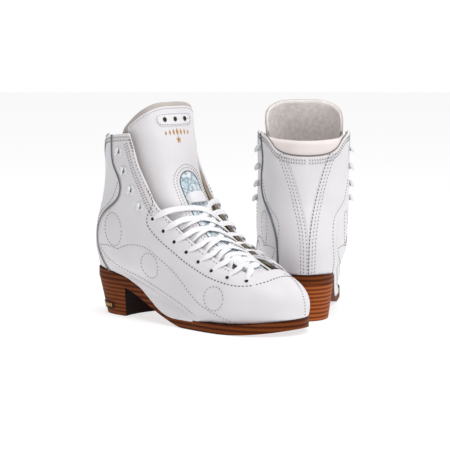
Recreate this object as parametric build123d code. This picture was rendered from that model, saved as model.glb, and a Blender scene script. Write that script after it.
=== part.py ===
"""A pair of leather figure-skate boots without blades, built as separate pieces.

Millimetres. Each boot is modelled as a right boot in its own frame: x runs forward from the
back of the heel, y is positive towards the medial (inner) side, z is up and the floor is z = 0.
The left boot is the mirror image. Both are then placed in the pair's frame, whose origin is
the centre of the pair's footprint on the floor.
"""

from build123d import *
import math
import os

# ---------------------------------------------------------------- places of the two boots
PAIR_CENTRE = (-0.3, 25.3)
RIGHT_HEEL = (-125.2, 34.6)
RIGHT_YAW = -40.9
LEFT_HEEL = (82.8, -63.0)
LEFT_YAW = 90.8

# ---------------------------------------------------------------- form of the upper
# Each level: height, back x, front x, half widths of the lateral and of the medial side at
# these fractions of the length.
FRACTIONS = (0.055, 0.22, 0.46, 0.74, 0.93)
LEVELS = (
    (9, 3, 261, (18, 29, 37, 45, 27), (18, 29, 33, 43, 31)),
    (24, 2, 264, (19, 30, 40, 48, 29), (19, 30, 37, 46, 33)),
    (36, 1, 262, (20, 31, 42, 48, 29), (20, 31, 39, 46, 32)),
    (46, -1, 254, (20, 32, 43, 47, 27), (20, 32, 41, 46, 30)),
    (54, -3, 241, (20, 36, 44, 46, 26), (20, 36, 43, 45, 28)),
    (66, -5, 216, (21, 38, 45, 45, 25), (21, 38, 46, 45, 26)),
    (80, -5, 192, (21, 39, 45, 45, 24), (21, 39, 46, 45, 24)),
    (96, -1, 168, (21, 39, 45, 46, 26), (21, 39, 46, 46, 26)),
    (116, 6, 150, (20, 37, 45, 46, 27), (20, 37, 46, 46, 27)),
    (140, 12, 136, (19, 37, 45, 45, 27), (19, 37, 46, 45, 27)),
    (165, 14, 128, (19, 38, 46, 45, 27), (19, 38, 46, 45, 27)),
    (195, 12, 124, (20, 40, 47, 45, 27), (20, 40, 47, 45, 27)),
)
LOWEST = 3.0
HIGHEST = 206.0

# depths below the outer face of the upper
LEATHER = 2.4
STIFFENER = (2.5, 3.8)
LINING = (3.9, 4.9)
LINER = (3.9, 6.0)
SEAM_GAP = 0.1

# side view curves (x, z)
COLLAR = ((-30, 165), (0, 165.5), (14, 166.2), (22, 168), (28, 171.3), (32, 175.2), (35.5, 180.5),
          (40, 184.8), (48, 187.3), (60, 188.6), (80, 190.5), (100, 191.5))
FACING = ((79, 200), (80, 191), (85, 178), (92, 158), (103, 139), (117, 118), (133, 104),
          (157, 85), (186, 69), (205, 61.5), (222, 58))
BACK_SEAM = ((54, 200), (54, 188), (52, 172), (53, 160), (59, 149), (64, 137), (61, 126),
             (50, 117), (35, 108), (25, 98.5), (19, 88), (17.5, 76), (20, 64), (26, 53),
             (31, 44), (32, 30))
FOXING = ((20, 74), (31, 64), (43, 57), (61, 50), (85, 43.5), (107, 37), (125, 31),
          (144, 24), (160, 17), (174, 8), (178, 2))
LINER_RIM = ((-20, 180.5), (10, 180.5), (30, 181.5), (50, 183), (72, 185), (100, 186))
LINER_FRONT = 70.0
LINER_FOOT = 142.0
INSERT_EDGE = ((23, 172), (15.5, 150), (9.5, 130), (4.8, 110), (1.6, 92), (0, 84))
PIPING_RADIUS = 1.1
COUNTER_TOP = ((-20, 92), (20, 92), (55, 78), (85, 58), (100, 30), (102, 0))
PUFF_BACK = ((206, 0), (206, 30), (214, 50), (232, 80))
PADDING_FRONT = ((100, 200), (92, 165), (98, 130), (104, 112), (102, 97))
PADDING_FOOT = 97.0

# ---------------------------------------------------------------- sole unit
SOLE_TOP = ((-20, 49), (0, 48), (40, 44), (60, 40), (90, 29), (120, 19), (148, 11.5))
SOLE_BOTTOM = ((-20, 39.5), (0, 38.5), (40, 34.5), (60, 30), (90, 18.5), (115, 8.5), (135, 2.2))
TREAD_START = 150.0
TREAD_END = 196.0
SOLE_THICKNESS = 9.5
OUTSOLE_THICKNESS = 4.7
TOE_RISE = 11.0
TOE_END = 284.0
TOE_SLOPE = 2 * TOE_RISE / (TOE_END - TREAD_END)
SOLE_OUTLINE = ((-0.8, 0), (10, -20), (34, -28.5), (66, -32), (118, -39.5), (160, -46),
                (197, -49), (228, -42.5), (247.5, -29), (261.5, 0), (247, 31.5), (228, 43),
                (197, 47), (160, 42.5), (118, 36), (66, 31.5), (34, 28.5), (10, 20))
HEEL_TOP_Z = 46.0
HEEL_TOP = ((-2.2, 0), (8.5, 20.6), (33, 29.4), (56, 31))
HEEL_FOOT = ((9, 0), (17, 15), (33, 22.6), (52, 24.3))
HEEL_BREAST_DIP = 3.5
TOP_PIECE = 6.0
LIFT = 3.6
SHANK = (34.0, 140.0, 16.0, 1.6)
CORK = (158.0, 232.0, 2.2)
CORK_INSET = 13.0
INSOLE_THICKNESS = 2.4
FOOTBED_THICKNESS = 3.5
INSOLE_CLEARANCE = 0.3
FOOTBED_CLEARANCE = 0.8
NAIL_RADIUS = 1.3
NAIL_LENGTH = 28.0
NAIL_MIDDLE = 31.0
NAIL_PLACES = ((18, 0), (28, -14), (28, 14), (44, -15), (44, 15))
PLATE_LENGTH = 24.0
PLATE_HEIGHT = 7.5
PLATE_THICKNESS = 0.9
PLATE_FACING = (-0.36, -0.93)
PLATE_CENTRE = (25.0, -20.5)
PLATE_Z = 9.5

# ---------------------------------------------------------------- tongue
# Each level: height, x of the edges, x of the middle, half width, squareness of the section.
TONGUE = (
    (55, 183, 210, 16, 2.3), (60, 174, 204, 20, 2.3), (68, 159, 191.5, 24.5, 2.3),
    (80, 137, 171, 29, 2.3), (96, 114, 149.5, 32.5, 2.3), (116, 94, 133, 35.3, 2.4),
    (140, 75.5, 119, 37.4, 2.6), (165, 66, 111, 38.2, 3.0), (183, 62.5, 106.5, 39.1, 3.2),
    (192, 62, 104, 40, 3.3), (205, 62, 100.5, 41, 3.4), (222, 62, 96, 41.4, 3.4),
)
TONGUE_STEPS = 12
TONGUE_NARROWING = 0.45
TONGUE_FACE = 1.6
TONGUE_DEPTH = 7.0
TONGUE_END = ((43.5, 186), (41.8, 196), (39.2, 204.5), (34.8, 210.6), (27.5, 215.2), (15, 218.3))
TONGUE_TOP_Z = 219.0
HINGE = (129.0, 128.0)
HINGE_LEAN = (-0.6, 0.8)
HINGE_GAP = 0.3
LOOP_Z = 121.5
LOOP_SIZE = (22.0, 9.0, 1.4)
LOOP_CLEARANCE = 2.6
LOOP_FOOT = 2.2

# ---------------------------------------------------------------- lacing
# x, half width, height of the upper's outer face at each eyelet and hook, top first
EYELETS = ((111.2, 48.7, 106.3), (124.6, 47.3, 95), (137.8, 46.4, 85.1), (152.4, 45.4, 75.9),
           (167.2, 42.8, 67.4), (183.6, 39.6, 60), (201.7, 34.6, 54.7), (220, 30.7, 52.2))
HOOKS = ((64.7, 45.3, 171.4), (71.3, 45.8, 152.2), (81.8, 46.6, 133.5), (95.2, 45.7, 117.5))
EYELET_RADIUS = 1.5
HOOK_BASE = (3.5, 4.4)
HOOK_LEAF = (3.3, 4.5)
HOOK_POST = (1.3, 4.6, 3.9)
HOOK_SHEET = 1.0
HOOK_POST_AT = 1.6
HOOK_LEAF_AT = -0.3
HOOK_LEAF_Z = 3.0
LACE_WIDTH = 7.5
LACE_THICKNESS = 0.9
# x and height of the facing's edge where each strand crosses it, top first
STRAND_EDGES = ((126, 110), (138.5, 100), (151.5, 89.5), (166, 79.5), (180.5, 71.8),
                (195.5, 65.5), (210, 60.5), (219, 58.8), (225, 58.2))
LATERAL_STEP = (-3.5, 2.8)
MEDIAL_STEP = (-7.0, 5.6)
LACE_ARCH = 3.5
LIP_INSET = 8.0
LACE_LOW = 2.4
LACE_HIGH = 3.5
LACE_OVER = 1.3
LACE_UNDER = 6.6

HALF = 80.0
UPRIGHT = (Align.CENTER, Align.CENTER, Align.MIN)


# ---------------------------------------------------------------- helpers
def derivative(before, here, after, step_back, step_on):
    """Slope at the middle one of three unevenly spaced values."""
    back = (here - before) / step_back
    on = (after - here) / step_on
    return (back * step_on + on * step_back) / (step_back + step_on)


def ring(level):
    """Plan points of one level, from the back round the lateral side."""
    height, back, front, lateral, medial = level
    length = front - back
    sides = [(back + f * length, -w) for f, w in zip(FRACTIONS, lateral)]
    returns = [(back + f * length, w) for f, w in zip(FRACTIONS, medial)]
    return [(back, 0.0)] + sides + [(front, 0.0)] + returns[::-1]


RINGS = [ring(level) for level in LEVELS]
HEIGHTS = [float(level[0]) for level in LEVELS]
COUNT = len(RINGS[0])


def spacing():
    """Spline parameters shared by all rings, from the mean chord between neighbours."""
    steps = []
    for i in range(COUNT):
        chords = [math.dist(r[i], r[(i + 1) % COUNT]) for r in RINGS]
        steps.append(math.sqrt(sum(chords) / len(chords)))
    places = [0.0]
    for step in steps:
        places.append(places[-1] + step)
    return [place / places[-1] for place in places]


PARAMETERS = spacing()


def normal_in_plan(points, i):
    """Outward normal of a ring at point i."""
    before, here, after = points[i - 1], points[i], points[(i + 1) % COUNT]
    back = math.dist(before, here)
    on = math.dist(here, after)
    tx = derivative(before[0], here[0], after[0], back, on)
    ty = derivative(before[1], here[1], after[1], back, on)
    size = math.hypot(tx, ty)
    return ty / size, -tx / size


def slope(level, i, normal):
    """How fast the outer face moves outwards with height at one ring point."""
    last = len(RINGS) - 1
    low, high = max(level - 1, 0), min(level + 1, last)
    rise = HEIGHTS[high] - HEIGHTS[low]
    dx = RINGS[high][i][0] - RINGS[low][i][0]
    dy = RINGS[high][i][1] - RINGS[low][i][1]
    return (dx * normal[0] + dy * normal[1]) / rise


def inner_ring(level, depth):
    """Ring points moved inwards so that the wall is this thick square to its face."""
    points = []
    for i in range(COUNT):
        normal = normal_in_plan(RINGS[level], i)
        steep = slope(level, i, normal)
        shift = depth * math.sqrt(1.0 + steep * steep)
        x, y = RINGS[level][i]
        points.append((x - normal[0] * shift, y - normal[1] * shift))
    return points


def ring_wire(points, height):
    corners = [(x, y, height) for x, y in points]
    return Wire([Edge.make_spline(corners, periodic=True, parameters=PARAMETERS)])


def form(depth, bottom, top):
    """Solid inside the upper's outer face, moved in by depth, between two heights."""
    wires = [ring_wire(inner_ring(0, depth), bottom)]
    for level, height in enumerate(HEIGHTS):
        wires.append(ring_wire(inner_ring(level, depth), height))
    wires.append(ring_wire(inner_ring(len(HEIGHTS) - 1, depth), top))
    return Solid.make_loft(wires)


def layer(outer, inner):
    """Wall between two depths below the outer face."""
    return form(outer, LOWEST, HIGHEST) - form(inner, LOWEST - 2, HIGHEST + 2)


def side_edges(curve, corners):
    """Closed outline in the side view: a spline, then straight runs back to its start."""
    first = [(x, 0, z) for x, z in curve]
    rest = [first[-1]] + [(x, 0, z) for x, z in corners] + [first[0]]
    return [Edge.make_spline(first)] + [Edge.make_line(a, b) for a, b in zip(rest, rest[1:])]


def across(edges, low=-HALF, high=HALF):
    """Side view outline made into a solid between two y values."""
    face = Face(Wire(edges)).moved(Location((0, low, 0)))
    return extrude(face, amount=high - low, dir=(0, 1, 0))


def block(x0, x1, y0, y1, z0, z1):
    return Box(x1 - x0, y1 - y0, z1 - z0, align=(Align.MIN, Align.MIN, Align.MIN)).moved(
        Location((x0, y0, z0)))


def largest(shape):
    return max(shape.solids(), key=lambda solid: solid.volume)


def shifted(points, dz):
    return [(x, z + dz) for x, z in points]


# ---------------------------------------------------------------- side view regions
def above_sole(lift=0.0):
    """Everything above the sole's top face, raised by lift."""
    curve = [(x, 0, z + lift) for x, z in SOLE_TOP]
    level = (TREAD_START + 14, 0, SOLE_THICKNESS + lift)
    toe = (TREAD_END, 0, SOLE_THICKNESS + lift)
    end = (TOE_END, 0, SOLE_THICKNESS + lift + TOE_RISE)
    waist = Edge.make_spline(curve + [level], tangents=[(1, 0, -0.05), (1, 0, 0)])
    tread = Edge.make_line(level, toe)
    spring = Edge.make_spline([toe, end], tangents=[(1, 0, 0), (1, 0, TOE_SLOPE)])
    corners = [end, (TOE_END, 0, 260), (-20, 0, 260), curve[0]]
    rest = [Edge.make_line(a, b) for a, b in zip(corners, corners[1:])]
    return across([waist, tread, spring] + rest)


def above_tread(lift=0.0):
    """Everything above the sole's bottom face, raised by lift."""
    curve = [(x, 0, z + lift) for x, z in SOLE_BOTTOM]
    level = (TREAD_START, 0, lift)
    toe = (TREAD_END, 0, lift)
    end = (TOE_END, 0, lift + TOE_RISE)
    waist = Edge.make_spline(curve + [level], tangents=[(1, 0, -0.05), (1, 0, 0)])
    tread = Edge.make_line(level, toe)
    spring = Edge.make_spline([toe, end], tangents=[(1, 0, 0), (1, 0, TOE_SLOPE)])
    corners = [end, (TOE_END, 0, 120), (-20, 0, 120), curve[0]]
    rest = [Edge.make_line(a, b) for a, b in zip(corners, corners[1:])]
    return across([waist, tread, spring] + rest)


def above_collar():
    return across(side_edges(COLLAR, [(100, 260), (-30, 260)]))


def throat():
    return across(side_edges(FACING, [(300, 120), (300, 230), (79, 230)]))


def behind_seam(gap=0.0):
    """Behind the seam between back panel and quarter, moved back by gap."""
    curve = [(x - gap, z) for x, z in BACK_SEAM]
    return across(side_edges(curve, [(-40, 30), (-40, 200)]))


def below_foxing(gap=0.0):
    curve = shifted(FOXING, -gap)
    return across(side_edges(curve, [(178, -20), (20, -20)]))


def seam_band(half_width):
    """Band of this half width along the back seam, lateral side only."""
    left, right = [], []
    for i, (x, z) in enumerate(BACK_SEAM):
        before = BACK_SEAM[max(i - 1, 0)]
        after = BACK_SEAM[min(i + 1, len(BACK_SEAM) - 1)]
        size = math.dist(before, after)
        nx, nz = (after[1] - before[1]) / size, -(after[0] - before[0]) / size
        left.append((x + nx * half_width, 0, z + nz * half_width))
        right.append((x - nx * half_width, 0, z - nz * half_width))
    edges = [Edge.make_spline(left), Edge.make_line(left[-1], right[-1]),
             Edge.make_spline(right[::-1]), Edge.make_line(right[0], left[0])]
    return across(edges, -HALF, 0)


def back_insert_prism(gap=0.0):
    """The V at the back, as a prism along x."""
    start = -30
    edge = [(start, w - gap, z) for w, z in INSERT_EDGE[:-1]]
    tip = (start, 0, INSERT_EDGE[-1][1] + gap)
    other = [(start, -y, z) for _, y, z in edge]
    edges = [Edge.make_spline(edge + [tip]), Edge.make_spline([tip] + other[::-1]),
             Edge.make_line(other[0], edge[0])]
    return extrude(Face(Wire(edges)), amount=85, dir=(1, 0, 0))


# ---------------------------------------------------------------- upper
def upper_pieces():
    trim_top = above_collar()
    opening = throat()
    above = above_sole(0.05)
    leather = (layer(0, LEATHER) & above) - trim_top - opening
    lateral_half = block(-40, 300, -HALF, -SEAM_GAP / 2, 0, 220)
    medial_half = block(-40, 300, SEAM_GAP / 2, HALF, 0, 220)
    behind = behind_seam(SEAM_GAP)
    in_front = behind_seam()
    foxing = below_foxing(SEAM_GAP)
    over_foxing = below_foxing()
    band = seam_band(PIPING_RADIUS + 0.05)
    insert = back_insert_prism(SEAM_GAP)
    around_insert = back_insert_prism()
    made = {"back_insert": largest(leather & insert)}
    rest = leather - around_insert
    for side, half in (("lateral", lateral_half), ("medial", medial_half)):
        wall = rest & half
        front = wall - in_front
        panels = {
            "back_panel": wall & behind,
            "quarter": front - over_foxing,
            "foxing": front & foxing,
        }
        for name, panel in panels.items():
            if side == "lateral":
                panel = panel - band
            if name == "quarter":
                panel = punch(panel, side)
            made[f"{side}_{name}"] = largest(panel)
    thread = seam_band(PIPING_RADIUS)
    raised = (layer(-PIPING_RADIUS, LEATHER) & thread & above) - trim_top
    made["piping"] = largest(raised)

    stiff = layer(*STIFFENER) & above_sole(0.05)
    counter = across(side_edges(COUNTER_TOP, [(-20, 0)]))
    made["heel_counter"] = largest(stiff & counter)
    toe = across(side_edges(PUFF_BACK, [(300, 80), (300, 0)]))
    made["toe_puff"] = largest(stiff & toe)
    ankle = across(side_edges(PADDING_FRONT, [(-30, PADDING_FOOT), (-30, 200)]))
    padding = (stiff & ankle) - above_collar() - throat()
    made["ankle_padding"] = largest(padding)

    liner_rim = across(side_edges(LINER_RIM, [(100, 260), (-20, 260)]))
    liner_zone = block(-20, LINER_FRONT, -HALF, HALF, LINER_FOOT, 220)
    made["collar_liner"] = largest((layer(*LINER) & liner_zone) - liner_rim)
    lining = (layer(*LINING) & above_sole(0.05)) - trim_top - opening
    room = block(-20, LINER_FRONT + 0.1, -HALF, HALF, LINER_FOOT - 0.1, 220)
    made["lining"] = largest(lining - room)
    return made


OUTER = form(0, LOWEST, HIGHEST)
OUTER_FACE = max(OUTER.faces(), key=lambda face: face.area)


def on_outer(x, y, z):
    """Point and outward normal of the outer face nearest to a place."""
    place = Vector(x, y, z)
    normal = OUTER_FACE.normal_at(place)
    near = Vector(*OUTER_FACE.closest_points(Vertex(x, y, z))[0])
    if normal.Y * y < 0:
        normal = -normal
    return near, normal


def punch(panel, side):
    sign = -1 if side == "lateral" else 1
    for x, half_width, z in EYELETS:
        place, normal = on_outer(x, sign * half_width, z)
        panel = panel - Cylinder(EYELET_RADIUS, 24).moved(Plane(place, z_dir=normal).location)
    return panel


def hooks():
    """Speed lacing hooks: a riveted base, a post by the throat and a curled leaf."""
    made = []
    for sign in (-1, 1):
        for x, half_width, z in HOOKS:
            place, normal = on_outer(x, sign * half_width, z)
            forward = Vector(0.94, 0, 0.34)
            across_face = forward - normal * forward.dot(normal)
            frame = Plane(place + normal * 0.08, x_dir=across_face, z_dir=normal)
            base = extrude(Sketch() + Ellipse(*HOOK_BASE), amount=HOOK_SHEET)
            post = Pos(HOOK_POST_AT, 0, 0) * Box(*HOOK_POST, align=UPRIGHT)
            leaf = extrude(Sketch() + Ellipse(*HOOK_LEAF), amount=HOOK_SHEET)
            leaf = Pos(HOOK_LEAF_AT, 0, HOOK_LEAF_Z) * leaf
            made.append((base + post + leaf).moved(frame.location))
    return made


# ---------------------------------------------------------------- sole unit
def outline_solid(points, bottom, top):
    edge = Edge.make_spline([(x, y, bottom) for x, y in points], periodic=True)
    return extrude(Face(Wire([edge])), amount=top - bottom, dir=(0, 0, 1))


def inset(points, amount):
    """Outline points moved towards the inside."""
    count = len(points)
    moved = []
    for i, (x, y) in enumerate(points):
        before, after = points[i - 1], points[(i + 1) % count]
        size = math.dist(before, after)
        nx, ny = (after[1] - before[1]) / size, -(after[0] - before[0]) / size
        moved.append((x - nx * amount, y - ny * amount))
    return moved


def heel_wire(points, z, grow):
    """D-shaped heel outline: round back, hollow breast."""
    right = [(x, -y) for x, y in points[:0:-1]]
    around = right + list(points)
    grown = []
    for i, (x, y) in enumerate(around):
        before = around[max(i - 1, 0)]
        after = around[min(i + 1, len(around) - 1)]
        size = math.dist(before, after)
        nx, ny = (after[1] - before[1]) / size, -(after[0] - before[0]) / size
        grown.append((x - nx * grow, y - ny * grow, z))
    dip = (grown[0][0] - HEEL_BREAST_DIP, 0, z)
    return Wire([Edge.make_spline(grown), Edge.make_three_point_arc(grown[-1], dip, grown[0])])


def heel_form(grow=0.0):
    return Solid.make_loft([heel_wire(HEEL_FOOT, 0, grow), heel_wire(HEEL_TOP, HEEL_TOP_Z, grow)])


def sole_pieces():
    plan = outline_solid(SOLE_OUTLINE, -5, 70)
    over_sole = above_sole()
    tread = above_tread()
    joint = above_tread(OUTSOLE_THICKNESS)
    made = {"outsole": largest((plan & tread) - joint)}
    midsole = (plan & above_tread(OUTSOLE_THICKNESS + 0.02)) - over_sole

    start, end, width, thick = SHANK
    strip = block(start, end, -width / 2, width / 2, -5, 80)
    shank_zone = (above_sole(-thick) - above_sole()) & strip
    start, end, thick = CORK
    cork_plan = outline_solid(inset(SOLE_OUTLINE, CORK_INSET), -5, 70)
    cork_plan = cork_plan & block(start, end, -HALF, HALF, -5, 70)
    cork_zone = (above_sole(-thick) - above_sole()) & cork_plan
    made["shank"] = largest(shank_zone)
    made["cork_filler"] = largest(cork_zone)
    made["midsole"] = largest(midsole - shank_zone - cork_zone)

    foot_room = form(LINING[1] + INSOLE_CLEARANCE, LOWEST, 120)
    board = above_sole(0.05) - above_sole(INSOLE_THICKNESS)
    made["insole_board"] = largest(board & foot_room)
    bed = above_sole(INSOLE_THICKNESS + 0.1) - above_sole(INSOLE_THICKNESS + FOOTBED_THICKNESS)
    made["footbed"] = largest(bed & form(LINING[1] + FOOTBED_CLEARANCE, LOWEST, 120))

    heel = heel_form() - above_tread(-0.05)
    made["heel_top_piece"] = largest(heel & block(-20, 80, -HALF, HALF, 0, TOP_PIECE))
    lifts = []
    bottom = TOP_PIECE
    while bottom < SOLE_BOTTOM[1][1] - LIFT / 2:
        lift = heel & block(-20, 80, -HALF, HALF, bottom, bottom + LIFT)
        lifts.append(largest(lift))
        bottom += LIFT
    made["heel_lifts"] = Compound(children=lifts)

    nails = []
    for x, y in NAIL_PLACES:
        nails.append(Cylinder(NAIL_RADIUS, NAIL_LENGTH).moved(Location((x, y, NAIL_MIDDLE))))
    made["heel_nails"] = Compound(children=[largest(nail) for nail in nails])
    made["heel_plate"] = heel_plate()
    return made


def heel_plate():
    """Blank capsule plate bent round the rear lateral corner of the heel."""
    size = math.hypot(*PLATE_FACING)
    out = Vector(PLATE_FACING[0] / size, PLATE_FACING[1] / size, 0)
    centre = Vector(*PLATE_CENTRE, PLATE_Z)
    frame = Plane(centre - out * 10, x_dir=(-out.Y, out.X, 0), z_dir=out)
    capsule = extrude(Sketch() + SlotOverall(PLATE_LENGTH, PLATE_HEIGHT), amount=40)
    skin = heel_form(PLATE_THICKNESS) - heel_form(0.02)
    return largest(skin & capsule.moved(frame.location))


# ---------------------------------------------------------------- tongue
def tongue_lean(i):
    """Outward unit vector (x, z) of the tongue's middle line at level i."""
    low, high = TONGUE[max(i - 1, 0)], TONGUE[min(i + 1, len(TONGUE) - 1)]
    dx, dz = high[2] - low[2], high[0] - low[0]
    size = math.hypot(dx, dz)
    return dz / size, -dx / size


def tongue_arc(i, depth):
    """Points of one level of the tongue at a depth below its outer face."""
    height, edge, middle, half, square = TONGUE[i]
    shift = depth / tongue_lean(i)[0]
    inner_half = half - depth * TONGUE_NARROWING
    points = []
    for k in range(TONGUE_STEPS + 1):
        turn = math.pi * (k / TONGUE_STEPS - 0.5)
        side = math.copysign(abs(math.sin(turn)) ** (2 / square), turn)
        front = abs(math.cos(turn)) ** (2 / square)
        points.append((edge + (middle - edge - shift) * front, inner_half * side, height))
    return points


def tongue_wall(outer, inner):
    """Part of the tongue between two depths below its outer face."""
    wires = []
    for i in range(len(TONGUE)):
        outside = tongue_arc(i, outer)
        inside = tongue_arc(i, inner)[::-1]
        wires.append(Wire([
            Edge.make_spline(outside), Edge.make_line(outside[-1], inside[0]),
            Edge.make_spline(inside), Edge.make_line(inside[-1], outside[0])]))
    return Solid.make_loft(wires)


def tongue_outline():
    """Front view of the tongue's rounded end, as a prism along x."""
    right = [(0, y, z) for y, z in TONGUE_END]
    left = [(0, -y, z) for y, z in TONGUE_END[::-1]]
    top = Edge.make_spline(right + [(0, 0, TONGUE_TOP_Z)] + left)
    low = [(0, -60, 186), (0, -60, 40), (0, 60, 40), (0, 60, 186)]
    corners = [left[-1]] + low + [right[0]]
    edges = [top] + [Edge.make_line(a, b) for a, b in zip(corners, corners[1:])]
    return extrude(Face(Wire(edges)), amount=260, dir=(1, 0, 0))


def above_hinge(gap):
    """Everything above the plane square to the tongue through its hinge."""
    lean_x, lean_z = HINGE_LEAN
    centre = (HINGE[0] + lean_x * gap, 0, HINGE[1] + lean_z * gap)
    frame = Plane(centre, z_dir=(lean_x, 0, lean_z))
    return Box(300, 300, 200, align=UPRIGHT).moved(frame.location)


def tongue_middle(z):
    """Point on the tongue's outer face in the middle plane, and its outward vector."""
    for i in range(len(TONGUE) - 1):
        low, high = TONGUE[i], TONGUE[i + 1]
        if z <= high[0]:
            share = (z - low[0]) / (high[0] - low[0])
            a, b = tongue_lean(i), tongue_lean(i + 1)
            out = Vector(a[0] + (b[0] - a[0]) * share, 0, a[1] + (b[1] - a[1]) * share)
            return Vector(low[2] + (high[2] - low[2]) * share, 0, z), out.normalized()
    raise ValueError(z)


def tongue_shoulder(z, side):
    """Point on the tongue's outer face half way round towards one edge, and its normal."""
    for i in range(len(TONGUE) - 1):
        low, high = tongue_arc(i, 0), tongue_arc(i + 1, 0)
        if z <= TONGUE[i + 1][0]:
            share = (z - TONGUE[i][0]) / (TONGUE[i + 1][0] - TONGUE[i][0])
            k = TONGUE_STEPS // 4 if side < 0 else TONGUE_STEPS - TONGUE_STEPS // 4
            here = Vector(*low[k]) * (1 - share) + Vector(*high[k]) * share
            out = tongue_middle(z)[1] * 0.7 + Vector(0, 0.7 * side, 0)
            return here, out.normalized()
    raise ValueError(z)


def tongue_pieces():
    outline = tongue_outline()
    upper, keep_low = above_hinge(HINGE_GAP), above_hinge(0)
    made = {}
    for name, outer, inner in (("face", 0, TONGUE_FACE), ("padding", TONGUE_FACE + 0.05, TONGUE_DEPTH)):
        wall = tongue_wall(outer, inner) & outline
        made[f"tongue_{name}_upper"] = largest(wall & upper)
        made[f"tongue_{name}_lower"] = largest(wall - keep_low)
    place, out = tongue_middle(LOOP_Z)
    width, length, thick = LOOP_SIZE
    frame = Plane(place + out * -0.2, x_dir=(0, 1, 0), z_dir=out)
    strap = Pos(0, 0, LOOP_CLEARANCE) * Box(width, length, thick, align=UPRIGHT)
    foot = Box(LOOP_FOOT, length, LOOP_CLEARANCE + thick, align=UPRIGHT)
    reach = (width - LOOP_FOOT) / 2
    feet = Pos(reach, 0, 0) * foot + Pos(-reach, 0, 0) * foot
    made["lace_loop"] = largest((strap + feet).moved(frame.location))
    return made


# ---------------------------------------------------------------- lace
def ribbon(start, end, up):
    """Flat straight run of lace from start to end, thin along up."""
    along = end - start
    lift = up - along.normalized() * up.dot(along.normalized())
    frame = Plane((start + end) * 0.5, x_dir=along, z_dir=lift)
    return Box(along.length, LACE_WIDTH, LACE_THICKNESS).moved(frame.location)


def strand(k, side):
    """Lace from eyelet k on one side, over the tongue and under the other facing.

    Strands from the lateral side cross level; those from the medial side come down one eyelet.
    """
    x, half_width, z = EYELETS[k]
    step_x, step_z = LATERAL_STEP if side < 0 else MEDIAL_STEP
    edge_x, edge_z = STRAND_EDGES[k]
    hole, normal = on_outer(x, side * half_width, z)
    lip_y = side * (half_width - LIP_INSET)
    lip, lip_normal = on_outer(edge_x + step_x, lip_y, edge_z + step_z)
    far_x, far_z = STRAND_EDGES[k if side < 0 else k + 1]
    far, far_normal = on_outer(far_x, -lip_y, far_z)
    rise = LACE_LOW if side > 0 else LACE_HIGH
    near, near_out = tongue_shoulder(edge_z + step_z, side)
    middle, out = tongue_middle((edge_z + step_z + far_z) / 2 + LACE_ARCH)
    other, other_out = tongue_shoulder(far_z, -side)
    route = [(hole + normal * LACE_OVER, normal), (lip + lip_normal * LACE_OVER, lip_normal),
             (near + near_out * rise, near_out), (middle + out * rise, out),
             (other + other_out * LACE_LOW, other_out), (far - far_normal * LACE_UNDER, far_normal)]
    return [ribbon(a, b, u + v) for (a, u), (b, v) in zip(route, route[1:])]


def lace():
    """All the strands, from the lowest pair of eyelets to the loop on the tongue."""
    runs = []
    for k in range(len(EYELETS)):
        for side in (-1, 1):
            runs += strand(k, side)
    return Compound(children=[largest(run) for run in runs])


# ---------------------------------------------------------------- assembly
def boot_pieces():
    made = {}
    made.update(sole_pieces())
    made.update(upper_pieces())
    made.update(tongue_pieces())
    made["hooks"] = Compound(children=[largest(hook) for hook in hooks()])
    made["lace"] = lace()
    return made


def place_of(heel, yaw):
    return Location((heel[0] - PAIR_CENTRE[0], heel[1] - PAIR_CENTRE[1], 0), (0, 0, yaw))


def save(name, solids):
    shape = solids[0] if len(solids) == 1 else Compound(children=solids)
    export_step(shape, f"parts/{name}.step")


def write():
    os.makedirs("parts", exist_ok=True)
    right = place_of(RIGHT_HEEL, RIGHT_YAW)
    left = place_of(LEFT_HEEL, LEFT_YAW)
    for name, shape in boot_pieces().items():
        solids = shape.solids()
        save(f"right_{name}", [solid.moved(right) for solid in solids])
        save(f"left_{name}", [solid.mirror(Plane.XZ).moved(left) for solid in solids])


write()
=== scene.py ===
"""Looks for a pair of white leather figure-skate boots.

Shapes are worked out in millimetres in one boot's own frame, as in the design: x forward from
the back of the heel, y positive towards the inner side, z up. The left boot is the mirror
image. place() turns that frame into the shared frame in metres.
"""

import math

import bpy
import numpy as np
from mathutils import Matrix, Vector, bvhtree, kdtree


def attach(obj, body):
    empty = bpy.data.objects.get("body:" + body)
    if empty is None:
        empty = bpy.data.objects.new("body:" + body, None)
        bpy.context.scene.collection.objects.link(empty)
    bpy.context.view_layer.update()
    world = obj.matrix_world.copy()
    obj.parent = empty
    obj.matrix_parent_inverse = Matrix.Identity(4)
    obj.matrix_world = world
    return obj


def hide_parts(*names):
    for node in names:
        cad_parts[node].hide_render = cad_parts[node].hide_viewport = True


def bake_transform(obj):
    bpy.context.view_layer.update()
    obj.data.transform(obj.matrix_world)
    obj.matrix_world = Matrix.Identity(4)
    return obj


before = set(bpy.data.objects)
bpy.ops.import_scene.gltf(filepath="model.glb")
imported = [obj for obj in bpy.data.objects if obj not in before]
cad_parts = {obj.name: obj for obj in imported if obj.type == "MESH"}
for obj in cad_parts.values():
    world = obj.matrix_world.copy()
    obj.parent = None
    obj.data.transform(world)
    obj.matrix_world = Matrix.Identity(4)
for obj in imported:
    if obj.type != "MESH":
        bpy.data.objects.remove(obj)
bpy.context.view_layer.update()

# ------------------------------------------------------------------ driving dimensions (mm)
MM = 0.001
PAIR_CENTRE = (-0.3, 25.3)
BOOTS = {"right": ((-125.2, 34.6), -40.9, 1.0), "left": ((82.8, -63.0), 90.8, -1.0)}

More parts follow.
